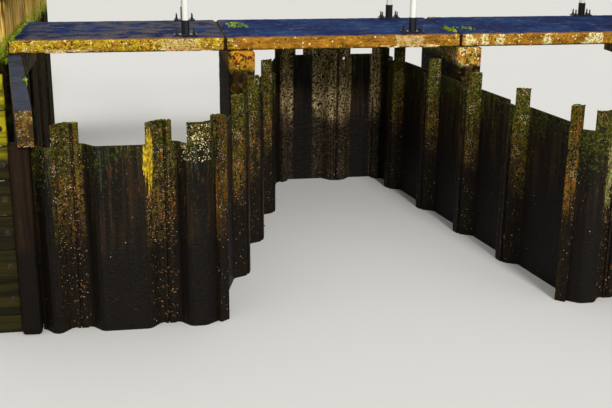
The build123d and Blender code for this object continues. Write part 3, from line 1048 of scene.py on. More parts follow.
def hand_over(piece: bpy.types.Object, material: bpy.types.Material, slot: str, *stands_for: str) -> None:
    """Finish a new piece: dress it, seat it on the frame and hide the nodes that it replaces.

    Args:
        piece: The piece.
        material: Its material.
        slot: Its slot; not used.
        *stands_for: The nodes that it replaces, if any.
    """
    dress(piece, material)
    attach(piece, "root")
    if stands_for:
        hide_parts(*stands_for)
    log.info("%s: %d faces", piece.name, len(piece.data.polygons))


@dataclass(frozen=True)
class Master:
    """The mesh of one small thing, about the origin, to be repeated over a surface."""

    points: np.ndarray
    triangles: np.ndarray

    @classmethod
    def taken(cls, piece: bpy.types.Object) -> "Master":
        """Read the mesh of a finished small piece and remove the piece.

        Args:
            piece: The small piece.

        Returns:
            Its mesh.
        """
        mesh = piece.data
        mesh.calc_loop_triangles()
        points = np.array([v.co for v in mesh.vertices], float)
        triangles = np.array([t.vertices for t in mesh.loop_triangles], int)
        bpy.data.objects.remove(piece)
        return cls(points, triangles)


def dome(roughness: float, flat: float, rounds: int, seed: int) -> Master:
    """A lumpy half ball that stands on the origin.

    Args:
        roughness: How far its points stray.
        flat: Its height as a share of its radius.
        rounds: How often the ball is refined.
        seed: Seed of the straying.

    Returns:
        The small thing.
    """
    fresh()
    bpy.ops.mesh.primitive_ico_sphere_add(subdivisions=rounds, radius=1.0)
    ball = newest("dome")
    whole()
    bpy.ops.mesh.bisect(plane_co=(0, 0, -0.25), plane_no=(0, 0, 1), clear_inner=True, use_fill=True)
    bpy.ops.mesh.select_all(action="SELECT")
    bpy.ops.transform.vertex_random(offset=roughness, seed=seed)
    bpy.ops.transform.resize(value=(1.0, 1.0, flat))
    done()
    return Master.taken(ball)


def chip(corners: int, thick: float, seed: int) -> Master:
    """A thin flake with an uneven outline.

    Args:
        corners: How many corners its outline has.
        thick: How thick it is.
        seed: Seed of the outline.

    Returns:
        The small thing.
    """
    fresh()
    bpy.ops.mesh.primitive_circle_add(vertices=corners, radius=1.0, fill_type="NGON")
    flake = newest("chip")
    whole()
    bpy.ops.transform.vertex_random(offset=0.35, seed=seed)
    bpy.ops.transform.resize(value=(1.0, 1.0, 0.3))
    bpy.ops.mesh.extrude_region_move(TRANSFORM_OT_translate={"value": (0, 0, thick)})
    bpy.ops.transform.resize(value=(0.75, 0.75, 1.0))
    bpy.ops.mesh.select_all(action="SELECT")
    bpy.ops.mesh.normals_make_consistent(inside=False)
    done()
    return Master.taken(flake)


def rosette(lobes: int, seed: int) -> Master:
    """A crust of lichen: a low lobed disc with a raised rim and a sunken middle.

    Args:
        lobes: How many lobes it has.
        seed: Seed of the outline.

    Returns:
        The small thing.
    """
    fresh()
    bpy.ops.mesh.primitive_circle_add(vertices=lobes, radius=1.0, fill_type="NGON")
    disc = newest("rosette")
    whole()
    bpy.ops.transform.vertex_random(offset=0.2, seed=seed)
    bpy.ops.transform.resize(value=(1.0, 1.0, 0.0))
    bpy.ops.mesh.extrude_region_move(TRANSFORM_OT_translate={"value": (0, 0, 0.16)})
    bpy.ops.transform.resize(value=(0.86, 0.86, 1.0))
    bpy.ops.mesh.inset(thickness=0.35, depth=-0.08)
    done()
    return Master.taken(disc)


def strand(steps: int, seed: int) -> Master:
    """A hanging lock of weed: one metre long, tapering and waving a little.

    Args:
        steps: How many bends it has.
        seed: Seed of the waving.

    Returns:
        The small thing.
    """
    fresh()
    bpy.ops.mesh.primitive_cube_add(size=1.0, scale=(1.0, 0.5, 0.02))
    lock = newest("strand")
    draw = np.random.default_rng(seed)
    pick(lock, lambda centre, normal: normal.z < -LEVEL)
    for step in range(steps):
        sway = draw.uniform(-0.5, 0.5)
        lift = draw.uniform(-0.12, 0.12)
        bpy.ops.mesh.extrude_region_move(TRANSFORM_OT_translate={"value": (sway, lift, -1 / steps)})
        narrow = draw.uniform(0.8, 1.05) if step < steps - 1 else 0.15
        bpy.ops.transform.resize(value=(narrow, narrow, 1.0))
    done()
    return Master.taken(lock)


@dataclass
class Patch:
    """Triangles of some pieces, to set small things on."""

    smallest: ClassVar[float] = 1e-12
    tries_each: ClassVar[int] = 30
    fewest_tries: ClassVar[int] = 150_000
    corners: np.ndarray
    normals: np.ndarray
    areas: np.ndarray

    @classmethod
    def of(cls, pieces: Sequence[bpy.types.Object]) -> "Patch":
        """Gather the triangles of some pieces.

        Args:
            pieces: The pieces.

        Returns:
            Their triangles, without the empty ones.
        """
        found = []
        for piece in pieces:
            mesh = piece.data
            mesh.calc_loop_triangles()
            points = np.array([v.co for v in mesh.vertices], float)
            index = np.array([t.vertices for t in mesh.loop_triangles], int)
            found.append(points[index])
        corners = np.concatenate(found)
        across = np.cross(corners[:, 1] - corners[:, 0], corners[:, 2] - corners[:, 0])
        double = np.linalg.norm(across, axis=1)
        full = double > cls.smallest
        return cls(corners[full], across[full] / double[full, None], double[full] / 2)

    def spots(self, draw: Draw, count: int, keep: Keep) -> Places:
        """Draw random places on the triangles.

        Args:
            draw: The seeded generator.
            count: How many places are wanted.
            keep: Says of many places and normals which may stay.

        Returns:
            The places and their normals, fewer than wanted where little of the surface may be used.
        """
        tries = max(count * self.tries_each, self.fewest_tries)
        share = self.areas / self.areas.sum()
        chosen = draw.choice(len(self.areas), size=tries, p=share)
        first, second = draw.random(tries), draw.random(tries)
        over = first + second > 1
        first[over], second[over] = 1 - first[over], 1 - second[over]
        corner = self.corners[chosen]
        places = corner[:, 0] + first[:, None] * (corner[:, 1] - corner[:, 0])
        places = places + second[:, None] * (corner[:, 2] - corner[:, 0])
        normals = self.normals[chosen]
        good = np.flatnonzero(keep(places, normals))[:count]
        return places[good], normals[good]


def scatter(
    name: str,
    masters: Sequence[Master],
    spots: Places,
    sizes: np.ndarray,
    draw: Draw,
    hanging: bool = False,
) -> bpy.types.Object:
    """Repeat small things over places on a surface, as one mesh.

    Args:
        name: The piece's name.
        masters: The small things to choose from.
        spots: Places and normals.
        sizes: Three sizes for each place: across, along and out of the surface.
        draw: The seeded generator.
        hanging: Whether they hang straight down instead of turning any way.

    Returns:
        The new piece.
    """
    places, normals = spots
    count = len(places)
    up = np.tile([0.0, 0.0, 1.0], (count, 1))
    if hanging:
        side = np.cross(normals, up)
        side /= np.linalg.norm(side, axis=1)[:, None]
        axes = np.stack([side, normals, up], axis=2)
    else:
        helper = np.where(np.abs(normals[:, 2:3]) > LEVEL, np.array([[1.0, 0.0, 0.0]]), up)
        first = np.cross(helper, normals)
        first /= np.linalg.norm(first, axis=1)[:, None]
        second = np.cross(normals, first)
        turn = draw.uniform(0, 2 * math.pi, count)[:, None]
        side = first * np.cos(turn) + second * np.sin(turn)
        axes = np.stack([side, np.cross(normals, side), normals], axis=2)
    choice = draw.integers(0, len(masters), count)
    points, triangles, start = [], [], 0
    for index, master in enumerate(masters):
        mine = np.flatnonzero(choice == index)
        local = master.points[None, :, :] * sizes[mine][:, None, :]
        world = np.einsum("nij,nkj->nki", axes[mine], local) + places[mine][:, None, :]
        points.append(world.reshape(-1, 3))
        shift = start + np.arange(len(mine))[:, None, None] * len(master.points)
        triangles.append((master.triangles[None, :, :] + shift).reshape(-1, 3))
        start += len(mine) * len(master.points)
    mesh = bpy.data.meshes.new(name)
    mesh.from_pydata(np.concatenate(points).tolist(), [], np.concatenate(triangles).tolist())
    mesh.update()
    piece = bpy.data.objects.new(name, mesh)
    bpy.context.collection.objects.link(piece)
    return piece


def even(draw: Draw, count: int, low: float, high: float, flat: float) -> np.ndarray:
    """Sizes for small things: round in plan, and lower than wide by a share.

    Args:
        draw: The seeded generator.
        count: How many sizes.
        low: The smallest width.
        high: The largest width.
        flat: Height as a share of the width.

    Returns:
        Three sizes for each.
    """
    across = draw.uniform(low, high, count) ** 2 / high
    across = np.maximum(across, low)
    return np.stack([across, across * draw.uniform(0.75, 1.25, count), across * flat], axis=1)


@dataclass(frozen=True)
class WornBlock:
    """A block that stands for a solid of the same size, with chipped edges and pitted faces."""

    node: str
    grain: float = 0.012
    edge_round: float = 0.003
    pitting: float = 0.003
    chipping: float = 0.014
    edge_band: float = 0.022
    pit_width: float = 0.05
    chip_width: float = 0.028
    sharp_above: float = 50.0

    def build(self, name: str) -> bpy.types.Object:
        """Make the block.

        Args:
            name: The block's name.

        Returns:
            The block.
        """
        low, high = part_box(self.node)
        fresh()
        bpy.ops.mesh.primitive_cube_add(size=1.0, location=(low + high) / 2, scale=high - low)
        block = newest(name)
        whole()
        bpy.ops.mesh.bevel(offset=self.edge_round, segments=2, affect="EDGES")
        done()
        remesh = block.modifiers.new("even grain", "REMESH")
        remesh.mode = "VOXEL"
        remesh.voxel_size = self.grain
        apply_all(block)
        self.mark_edges(block, low, high)
        roughen(block, "pits", self.pit_width, self.pitting)
        roughen(block, "chips", self.chip_width, self.chipping, "edges")
        apply_all(block)
        block.vertex_groups.clear()
        self.keep_inside(block, low, high)
        bpy.ops.object.shade_smooth_by_angle(angle=math.radians(self.sharp_above))
        return block

    def mark_edges(self, block: bpy.types.Object, low: Vector, high: Vector) -> None:
        """Weigh the vertices near an edge of the block, where chips break off.

        Args:
            block: The block.
            low: The solid's lower corner.
            high: Its upper corner.
        """
        points = np.array([v.co for v in block.data.vertices], float)
        lows = np.abs(points - np.array(low))
        highs = np.abs(points - np.array(high))
        near = np.sort(np.minimum(lows, highs), axis=1)
        weight = np.clip(1 - near[:, 1] / self.edge_band, 0, 1)
        least = 0.02
        group = block.vertex_groups.new(name="edges")
        for index in np.flatnonzero(weight > least):
            group.add([int(index)], float(weight[index]), "REPLACE")

    def keep_inside(self, block: bpy.types.Object, low: Vector, high: Vector) -> None:
        """Hold every vertex within the solid's own corners.

        Args:
            block: The block.
            low: The solid's lower corner.
            high: Its upper corner.
        """
        points = np.array([v.co for v in block.data.vertices], float)
        points = np.clip(points, np.array(low), np.array(high))
        block.data.vertices.foreach_set("co", points.ravel())
        block.data.update()


@dataclass
class Studio:
    """The camera at the photograph's place, the floor and the soft light."""

    eye: Vector = field(default_factory=lambda: Vector((-1.577, -8.04, 2.47)))
    dip: float = 17.475
    swing: float = -9.22
    lean: float = 0.46
    focal_pixels: float = 1000.0
    frame_pixels: float = 612.0
    sensor: float = 36.0
    floor_reach: float = 80.0
    sun_height: float = 27.0
    sun_swing: float = 9.0
    sun_strength: float = 2.35
    sun_spread: float = 12.0
    sky_strength: float = 0.62

    def camera(self) -> None:
        """Place the camera."""
        data = bpy.data.cameras.new("camera")
        data.sensor_width = self.sensor
        data.lens = self.focal_pixels * self.sensor / self.frame_pixels
        data.clip_end = self.floor_reach * 2
        camera = bpy.data.objects.new("camera", data)
        bpy.context.collection.objects.link(camera)
        turn = Matrix.Rotation(math.radians(self.swing), 4, "Z")
        tilt = Matrix.Rotation(math.radians(90 - self.dip), 4, "X")
        roll = Matrix.Rotation(math.radians(self.lean), 4, "Z")
        camera.matrix_world = Matrix.Translation(self.eye) @ turn @ tilt @ roll
        bpy.context.scene.camera = camera

    def floor(self) -> None:
        """Lay the pale floor at the foot of the weir."""
        fresh()
        bpy.ops.mesh.primitive_grid_add(x_subdivisions=8, y_subdivisions=8, size=self.floor_reach)
        ground = newest("studio_floor")
        b = Bench("studio_floor")
        cloud = b.noise(0.8, 3)
        colour = b.mix(b.times(cloud, 0.12), Tint.FLOOR, Tint.CHALK)
        dress(ground, b.finish(colour, 0.9, b.times(cloud, 0.002)))

    def sun(self) -> None:
        """Hang one soft sun."""
        lamp = bpy.data.lights.new("studio_sun", "SUN")
        lamp.energy = self.sun_strength
        lamp.angle = math.radians(self.sun_spread)
        sun = bpy.data.objects.new("studio_sun", lamp)
        bpy.context.collection.objects.link(sun)
        turn = Matrix.Rotation(math.radians(self.sun_swing), 4, "Z")
        sun.matrix_world = turn @ Matrix.Rotation(math.radians(90 - self.sun_height), 4, "X")

    def sky(self) -> None:
        """Spread a plain pale sky, which the camera and mirrors see as the floor's colour."""
        world = bpy.data.worlds.new("studio_sky")
        world.use_nodes = True
        bpy.context.scene.world = world
        tree = world.node_tree
        light = tree.nodes["Background"]
        light.inputs["Color"].default_value = (1.0, 1.0, 1.0, 1.0)
        light.inputs["Strength"].default_value = self.sky_strength
        seen = tree.nodes.new("ShaderNodeBackground")
        seen.inputs["Color"].default_value = Tint.FLOOR.light
        seen.inputs["Strength"].default_value = 1.0
        path = tree.nodes.new("ShaderNodeLightPath")
        mix = tree.nodes.new("ShaderNodeMixShader")
        seen_by = path.outputs["Is Camera Ray"]
        for ray in ("Is Glossy Ray", "Is Transmission Ray"):
            either = tree.nodes.new("ShaderNodeMath")
            either.operation = "MAXIMUM"
            tree.links.new(seen_by, either.inputs[0])
            tree.links.new(path.outputs[ray], either.inputs[1])
            seen_by = either.outputs[0]
        tree.links.new(seen_by, mix.inputs[0])
        tree.links.new(light.outputs[0], mix.inputs[1])
        tree.links.new(seen.outputs[0], mix.inputs[2])
        tree.links.new(mix.outputs[0], tree.nodes["World Output"].inputs["Surface"])
        bpy.context.scene.view_settings.view_transform = "Standard"

    def build(self) -> None:
        """Set up the whole studio."""
        self.camera()
        self.floor()
        self.sun()
        self.sky()


# Each growth: its name, its dark, light and patch tints, lumps to the metre, dullness and depth
MOSS = Growth("moss", Tint.MOSS_DARK, Tint.MOSS, Tint.MOSS_LIGHT, 160.0, 0.95, 0.003)
WHITE_LICHEN = Growth("white_lichen", Tint.YELLOW_CRUST, Tint.WHITE_CRUST, Tint.CHALK, 240.0, 0.9, 0.0012)
YELLOW_LICHEN = Growth("yellow_lichen", Tint.OCHRE, Tint.YELLOW_CRUST, Tint.GOLD, 240.0, 0.9, 0.0012)
CRUMBS = Growth("crumbs", Tint.SHELL_ROSE, Tint.WHITE_CRUST, Tint.SHELL, 180.0, 0.7, 0.0008)
SHELLS = Growth("shells", Tint.SHELL_ROSE, Tint.SHELL, Tint.SILT, 180.0, 0.45, 0.0005)
RUST_SCALE = Growth("rust_scale", Tint.BROWN_WET, Tint.RUST, Tint.RUST_LIGHT, 130.0, 0.75, 0.001)
DARK_WEED = Growth("dark_weed", Tint.BLACK_WET, Tint.MOSS_DARK, Tint.OLIVE, 60.0, 0.6, 0.001)
YELLOW_SLIME = Growth("yellow_slime", Tint.SLIME_DARK, Tint.SLIME, Tint.YELLOW_CRUST, 50.0, 0.6, 0.001)
PALE_WEED = Growth("pale_weed", Tint.OLIVE, Tint.PALE_MOSS, Tint.SHELL, 60.0, 0.8, 0.001)
LAND_MOSS = Growth("land_moss", Tint.BROWN_WET, Tint.OLIVE, Tint.MOSS, 160.0, 0.95, 0.003)


def between(values: np.ndarray, low: float | np.ndarray, high: float | np.ndarray) -> np.ndarray:
    """Which values lie between two others."""
    return (values > low) & (values < high)


@dataclass(frozen=True)
class Bed:
    """A stretch of surface that small things grow on: a box in space and how many grow there."""

    name: str
    low: tuple[float, float, float]
    high: tuple[float, float, float]
    count: int
    largest: float
    lift: float = 0.6

    def keep(self, places: np.ndarray, normals: np.ndarray) -> np.ndarray:
        """Which places lie in the box, on faces that don't look down."""
        inside = np.all(between(places, np.array(self.low), np.array(self.high)), axis=1)
        return inside & (normals[:, 2] > -0.3)


@dataclass(frozen=True, kw_only=True)
class Crop:
    """Small things that grow on a surface: their finish, its slot and how their shapes are made."""

    hanging: ClassVar[bool] = False
    growth: Growth
    shapes: Callable[[], list[Master]]
    slot: str = "wet_steel"

    def sizes(self, draw: Draw, count: int) -> np.ndarray:
        """Three sizes for each, which every kind of crop draws in its own way."""
        raise NotImplementedError

    def grow(self, name: str, patch: Patch, draw: Draw, count: int, keep: Keep) -> None:
        """Grow one piece of it.

        Args:
            name: The piece's name.
            patch: What it grows on.
            draw: The seeded generator.
            count: How many small things are wanted.
            keep: Says which places may stay.
        """
        spots = patch.spots(draw, count, keep)
        sizes = self.sizes(draw, len(spots[0]))
        piece = scatter(name, self.shapes(), spots, sizes, draw, self.hanging)
        hand_over(piece, self.growth.material(), self.slot)


@dataclass(frozen=True, kw_only=True)
class Cushions(Crop):
    """A crop that stands on its surface, lower than it is wide."""

    smallest: float
    largest: float
    flat: float
    longer: float = 1.0

    def sizes(self, draw: Draw, count: int) -> np.ndarray:
        """Sizes from the smallest to the largest, round in plan or longer one way."""
        sizes = even(draw, count, self.smallest, self.largest, self.flat)
        return sizes * np.array([1.0, self.longer, 1.0])


@dataclass(frozen=True, kw_only=True)
class Locks(Crop):
    """A crop of strands that hang down their surface."""

    hanging: ClassVar[bool] = True
    width: tuple[float, float]
    thick: float
    length: tuple[float, float]

    def sizes(self, draw: Draw, count: int) -> np.ndarray:
        """Any width and length between the least and the most."""
        width = draw.uniform(*self.width, count)
        return np.stack([width, np.full(count, self.thick), draw.uniform(*self.length, count)], axis=1)


SHELL_CROP = Cushions(
    growth=SHELLS,
    shapes=lambda: [dome(0.12, 0.9, 1, seed) for seed in (11, 12)],
    smallest=0.0012, largest=0.0036, flat=0.55,
)
FLAKES = Cushions(
    growth=RUST_SCALE,
    shapes=lambda: [chip(6, 0.5, seed) for seed in (14, 15, 16)],
    smallest=0.002, largest=0.007, flat=0.3, longer=1.6,
)
LAND_CUSHIONS = Cushions(
    growth=LAND_MOSS,
    shapes=lambda: [dome(0.2, 0.8, 2, seed) for seed in (24, 25)],
    smallest=0.003, largest=0.009, flat=0.7,
)
PANEL_CRUMBS = Cushions(
    growth=CRUMBS,
    shapes=lambda: [rosette(lobes, seed) for lobes, seed in ((6, 4), (8, 5))],
    smallest=0.0016, largest=0.0048, flat=0.4,
)
WEED_LOCKS = Locks(
    growth=DARK_WEED,
    shapes=lambda: [strand(7, seed) for seed in (17, 18, 19)],
    width=(0.002, 0.006), thick=0.004, length=(0.03, 0.26),
)
SLIME_LOCKS = Locks(
    growth=YELLOW_SLIME,
    shapes=lambda: [strand(6, seed) for seed in (27, 28)],
    width=(0.004, 0.009), thick=0.005, length=(0.05, 0.2),
)
PALE_LOCKS = Locks(
    growth=PALE_WEED,
    shapes=lambda: [strand(5, seed) for seed in (29, 30)],
    width=(0.003, 0.008), thick=0.006, length=(0.02, 0.08),
)


def grow_beds(
    beds: Sequence[Bed],
    patch: Patch,
    draw: Draw,
    slot: str,
    least: float,
    shapes: Callable[[], list[Master]],
) -> None:
    """Grow moss on some beds.

    Args:
        beds: The beds.
        patch: The surface that they lie on.
        draw: The seeded generator.
        slot: The slot of the moss.
        least: The smallest cushion as a share of the largest.
        shapes: Makes the cushions.
    """
    for bed in beds:
        crop = Cushions(
            growth=MOSS,
            shapes=shapes,
            slot=slot,
            smallest=bed.largest * least,
            largest=bed.largest,
            flat=bed.lift,
        )
        crop.grow(f"{bed.name}_moss", patch, draw, bed.count, bed.keep)


# Each bed: its name, its two corners, how many grow there, the largest and how high it is for its width
BRIDGE_BEDS = (
    Bed("left_end", (-2.54, -0.72, 1.42), (-2.5, 0.33, 1.45), 330, 0.02, 1.0),
    Bed("right_end", (2.5, -0.72, 1.42), (2.54, 0.33, 1.45), 150, 0.016),
    Bed("first_joint", (-0.93, -0.2, 1.42), (-0.78, 0.1, 1.45), 50, 0.02),
    Bed("second_joint_tuft", (0.74, -0.6, 1.42), (0.79, -0.42, 1.45), 34, 0.026, 1.1),
    Bed("second_joint_crust", (0.82, -0.5, 1.42), (1.0, -0.3, 1.45), 40, 0.014, 0.5),
    Bed("second_joint_rear", (0.79, 0.25, 1.42), (0.86, 0.33, 1.45), 26, 0.016),
    Bed("pier_foot", (0.6, -0.9, 1.2), (0.8, 1.2, 1.225), 60, 0.012),
)
BANK_BEDS = (
    Bed("left_cap", (-2.32, -1.75, 1.3), (-2.18, -1.4, 1.36), 70, 0.018),
    Bed("right_cap", (2.18, -2.2, 1.3), (2.32, -1.7, 1.36), 50, 0.014),
    Bed("left_coping", (-2.63, -0.72, 1.74), (-2.44, 2.65, 1.81), 110, 0.012),
    Bed("right_coping", (2.44, -0.72, 1.74), (2.63, 0.4, 1.81), 50, 0.012),
)


@dataclass
class Footbridge:
    """Slabs, piers and joints, with the lichen, moss and broken lips on them."""

    slabs: tuple[str, ...] = ("left_slab", "middle_slab", "right_slab")
    lichen_count: int = 3000
    moss_beds: tuple[Bed, ...] = BRIDGE_BEDS
    lip_count: int = 60
    lip_spans: tuple[tuple[float, float], ...] = ((-1.47, -1.08), (0.2, 0.62), (-2.3, -2.0))
    lip_sizes: tuple[tuple[float, float], ...] = ((0.012, 0.05), (0.006, 0.012), (0.003, 0.008))
    lip_rise: tuple[float, float] = (0.004, 0.022)
    lip_sunk: float = 0.004
    joint_depth: float = 0.012
    joint_waves: float = 0.0015
    joint_cuts: int = 24
    yellow_share: float = 0.6
    smallest_crust: float = 0.002
    worn: list[bpy.types.Object] = field(default_factory=list)

    def build(self) -> None:
        """Make all of the footbridge's pieces."""
        concrete = SlabConcrete().material()
        for node in self.slabs:
            slab = WornBlock(node).build(f"worn_{node}")
            hand_over(slab, concrete, "slab_concrete", node)
            self.worn.append(slab)
        for side, white, seed in ((Side.LEFT, -0.04, 2.0), (Side.RIGHT, 0.2, 5.0)):
            node = f"{side.value}_pier"
            pier = WornBlock(node, grain=0.016, pitting=0.005, chipping=0.018).build(f"worn_{node}")
            hand_over(pier, PierConcrete(f"{node}_concrete", white, seed).material(), "pier_concrete", node)
            self.worn.append(pier)
        dress(NODES["left_bearing_angle"], LedgeSteel().material())
        self.joints()
        self.lichens()
        self.moss()
        self.lips()

    def joints(self) -> None:
        """Fill the joints between the slabs with sunken mastic."""
        fills = []
        for before, after in zip(self.slabs, self.slabs[1:]):
            low = Vector((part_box(before)[1].x, *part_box(before)[0].yz))
            high = Vector((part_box(after)[0].x, *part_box(after)[1].yz))
            high.z -= self.joint_depth
            inset = Vector((0, self.joint_depth, self.joint_depth))
            fresh()
            size = high - low - inset
            bpy.ops.mesh.primitive_cube_add(size=1.0, location=(low + high) / 2, scale=size)
            fill = newest("mastic")
            whole()
            bpy.ops.mesh.subdivide(number_cuts=self.joint_cuts)
            bpy.ops.transform.vertex_random(offset=self.joint_waves, seed=3)
            done()
            fills.append(fill)
        mastic = Growth("mastic", Tint.MASTIC, Tint.PIT, Tint.MOSS_DARK, 90.0, 0.6, 0.001)
        hand_over(joined("slab_joint_mastic", fills), mastic.material(), "slab_concrete")

    def lichens(self) -> None:
        """Grow crusts on the slab edges and the pier ends."""
        draw = np.random.default_rng(21)
        patch = Patch.of(self.worn)
        first_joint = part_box("middle_slab")[0].x
        second_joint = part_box("middle_slab")[1].x

        def keep(places: np.ndarray, normals: np.ndarray) -> np.ndarray:
            """Crust stands in clusters on high upright faces, thickest by the first joint.

            Args:
                places: Points on the surface.
                normals: Their normals.

            Returns:
                Which of them may stay.
            """
            x, _, z = places.T
            lush = 0.12 + 0.75 * np.exp(-((x - first_joint + 0.3) / 0.25) ** 2)
            lush += 0.3 * (x > second_joint - 0.1) + 0.25 * (x < first_joint)
            cluster = np.sin(x * 61 + np.sin(x * 23) * 3) * np.sin(z * 170 + x * 37) > -0.1
            standing = (np.abs(normals[:, 2]) < 0.6) & (z > WET_LINE + 0.02)
            return standing & cluster & (draw.random(len(x)) < lush)

        places, normals = patch.spots(draw, self.lichen_count, keep)
        split = int(len(places) * self.yellow_share)
        for name, part, growth, largest in (
            ("yellow_crust", slice(0, split), YELLOW_LICHEN, 0.009),
            ("white_crust", slice(split, None), WHITE_LICHEN, 0.0085),
        ):
            spots = (places[part], normals[part])
            sizes = even(draw, len(places[part]), self.smallest_crust, largest, 0.4)
            sizes[:, 1] *= draw.uniform(0.5, 1.3, len(sizes))
            masters = [rosette(lobes, seed) for lobes, seed in ((7, 1), (9, 2), (6, 3))]
            piece = scatter(f"footbridge_{name}", masters, spots, sizes, draw)
            hand_over(piece, growth.material(), "slab_concrete")

    def moss(self) -> None:
        """Grow moss where the slabs meet the banks, at the joints and low on the piers."""
        grow_beds(
            self.moss_beds,
            Patch.of(self.worn),
            np.random.default_rng(22),
            "slab_concrete",
            0.3,
            lambda: [dome(0.18, 0.8, 2, seed) for seed in (4, 5, 6)],
        )

    def lips(self) -> None:
        """Leave broken slivers of concrete along the lower front edges of two slabs."""
        draw = np.random.default_rng(23)
        low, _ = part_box("left_slab")
        each = self.lip_count // len(self.lip_spans)
        x = np.concatenate([draw.uniform(*span, each) for span in self.lip_spans])
        count = len(x)
        rise = draw.uniform(*self.lip_rise, count)
        places = np.stack([x, np.full(count, low.y + self.lip_sunk), low.z + rise], axis=1)
        normals = np.tile([0.0, -1.0, 0.0], (count, 1))
        sizes = np.stack([draw.uniform(*span, count) for span in self.lip_sizes], axis=1)
        masters = [chip(9, 0.9, seed) for seed in (7, 8, 9)]
        piece = scatter("broken_slab_lips", masters, (places, normals), sizes, draw, hanging=True)
        lip = Growth("broken_concrete", Tint.OCHRE, Tint.WHITE_CRUST, Tint.GOLD, 120.0, 0.9, 0.001)
        hand_over(piece, lip.material(), "slab_concrete")


@dataclass
class CrestWall:
    """The folded pile wall: its finishes, and the shells, scale, weed and moss on it."""

    shell_count: int = 900
    scale_count: int = 260
    lap_reach: float = 0.05
    moss_count: int = 70
    locks_per_notch: int = 26
    root_reach: float = 0.012
    slime_count: int = 80
    slime_foot: float = 0.98
    pale_count: int = 520
    crumb_count: int = 520
    pale_foot: float = 0.66

    def build(self) -> None:
        """Dress every pile and post and grow what lives on them."""
        wing_left = WallLine.along_x("left_wing_pile_1")
        wing_right = WallLine.along_x("right_wing_pile_1")
        side_left = WallLine.through("left_side_pile_2", "left_side_pile_3", 1)
        side_right = WallLine.through("right_side_pile_4", "right_side_pile_2", 2)
        back = WallLine(Vector((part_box("back_left_pile")[1].x - CLUTCH_REACH, 0, 0)), 0.0, wing_left.pitch)
        finishes = (
            WetSteel("left_wing_steel", wing_left, WING_LANDS, algae=0.42, rusty=0.5),
            WetSteel("right_wing_steel", wing_right, WING_LANDS, algae=0.6, rusty=0.4),
            WetSteel("left_side_steel", side_left, (-0.12, -0.06), algae=0.42, rusty=0.5),
            WetSteel("right_side_steel", side_right, (0.06, 0.12), algae=0.5, rusty=0.3),
            # The back run's pale crust and faint dark runs are partly pale stain, partly painted sunlight
            WetSteel("back_steel", back, (-0.2, 0.12), 0.15, 0.3, crust=Tint.PALE_STAIN, dimmed=0.45),
            WetSteel("post_steel", wing_left, (-1.0, 1.0), algae=0.3, rusty=0.6, streaks_and_side_shade=0.6),
        )
        starts = {
            "back": ("back_left", "back_right", "left_back", "right_back"),
            "post": ("left_front", "right_front"),
        }
        for finish in finishes:
            name = finish.name.removesuffix("_steel")
            material = finish.material()
            members = [NODES[node] for node in sorted(NODES) if node.startswith(starts.get(name, name))]
            for member in members:
                dress(member, material)
            patch = Patch.of(members)
            self.shells(name, finish, patch)
            if name != "post":
                self.scale(name, finish.line, patch)
                self.weed(name, patch, self.locks_per_notch * len(members))
            self.tops(name, patch)
        self.yellow_slime()
        self.pale_beds()

    @staticmethod
    def downstream(name: str, normals: np.ndarray) -> np.ndarray:
        """Which normals face the channel, for a named run of the wall.

        Args:
            name: The run's name.
            normals: Normals of places on it.

        Returns:
            True where they face the channel.
        """
        if name.endswith("side"):
            sign = 1 if name.startswith("left") else -1
            return sign * normals[:, 0] > FACING
        return normals[:, 1] < -FACING

    def shells(self, name: str, finish: WetSteel, patch: Patch) -> None:
        """Stick small pale shells to the channel side.

        Args:
            name: The run's name.
            finish: The run's finish, which knows where its lands are.
            patch: The run's surface.
        """
        draw = np.random.default_rng(len(name) * 7 + 31)

        def keep(places: np.ndarray, normals: np.ndarray) -> np.ndarray:
            """Shells crowd below the lands and thin out below the notches.

            Args:
                places: Points on the surface.
                normals: Their normals.

            Returns:
                Which of them may stay.
            """
            offset = finish.line.offsets(places)
            height = places[:, 2]
            clumps = np.sin(height * 31 + offset * 40) * 0.35 + 0.65
            wanted = np.where(between(offset, *finish.lands), 0.9, 0.03)
            wanted = wanted * np.where(height < 0.5, 0.35, 1.0) * clumps
            seen = self.downstream(name, normals) & between(height, 0.03, WET_LINE)
            return seen & (draw.random(len(offset)) < wanted)

        SHELL_CROP.grow(f"{name}_shells", patch, draw, self.shell_count, keep)

    def scale(self, name: str, line: WallLine, patch: Patch) -> None:
        """Raise flakes of rust along the clutches.

        Args:
            name: The run's name.
            line: The run's line, which knows where its clutches are.
            patch: The run's surface.
        """
        draw = np.random.default_rng(len(name) * 5 + 41)

        def keep(places: np.ndarray, normals: np.ndarray) -> np.ndarray:
            """Scale keeps to the laps."""
            near = np.abs(line.offsets(places)) < self.lap_reach
            return self.downstream(name, normals) & near & between(places[:, 2], 0.04, LAND_EDGE)

        FLAKES.grow(f"{name}_rust_scale", patch, draw, self.scale_count, keep)

    def weed(self, name: str, patch: Patch, count: int) -> None:
        """Hang dark weed from the sills, down the channel side.

        Args:
            name: The run's name.
            patch: The run's surface.
            count: How many locks are wanted.
        """
        draw = np.random.default_rng(len(name) * 3 + 51)

        def keep(places: np.ndarray, normals: np.ndarray) -> np.ndarray:
            """Locks root just below the sill."""
            near = np.abs(places[:, 2] - SILL + self.root_reach) < self.root_reach
            return self.downstream(name, normals) & near

        WEED_LOCKS.grow(f"{name}_weed", patch, draw, count, keep)

    def tops(self, name: str, patch: Patch) -> None:
        """Cap the lands and posts with low cushions of moss.

        Args:
            name: The run's name.
            patch: The run's surface.
        """
        draw = np.random.default_rng(len(name) * 2 + 61)

        def keep(places: np.ndarray, normals: np.ndarray) -> np.ndarray:
            """Moss keeps to the tops."""
            return (normals[:, 2] > LEVEL) & (places[:, 2] > WET_LINE)

        LAND_CUSHIONS.grow(f"{name}_moss", patch, draw, self.moss_count, keep)

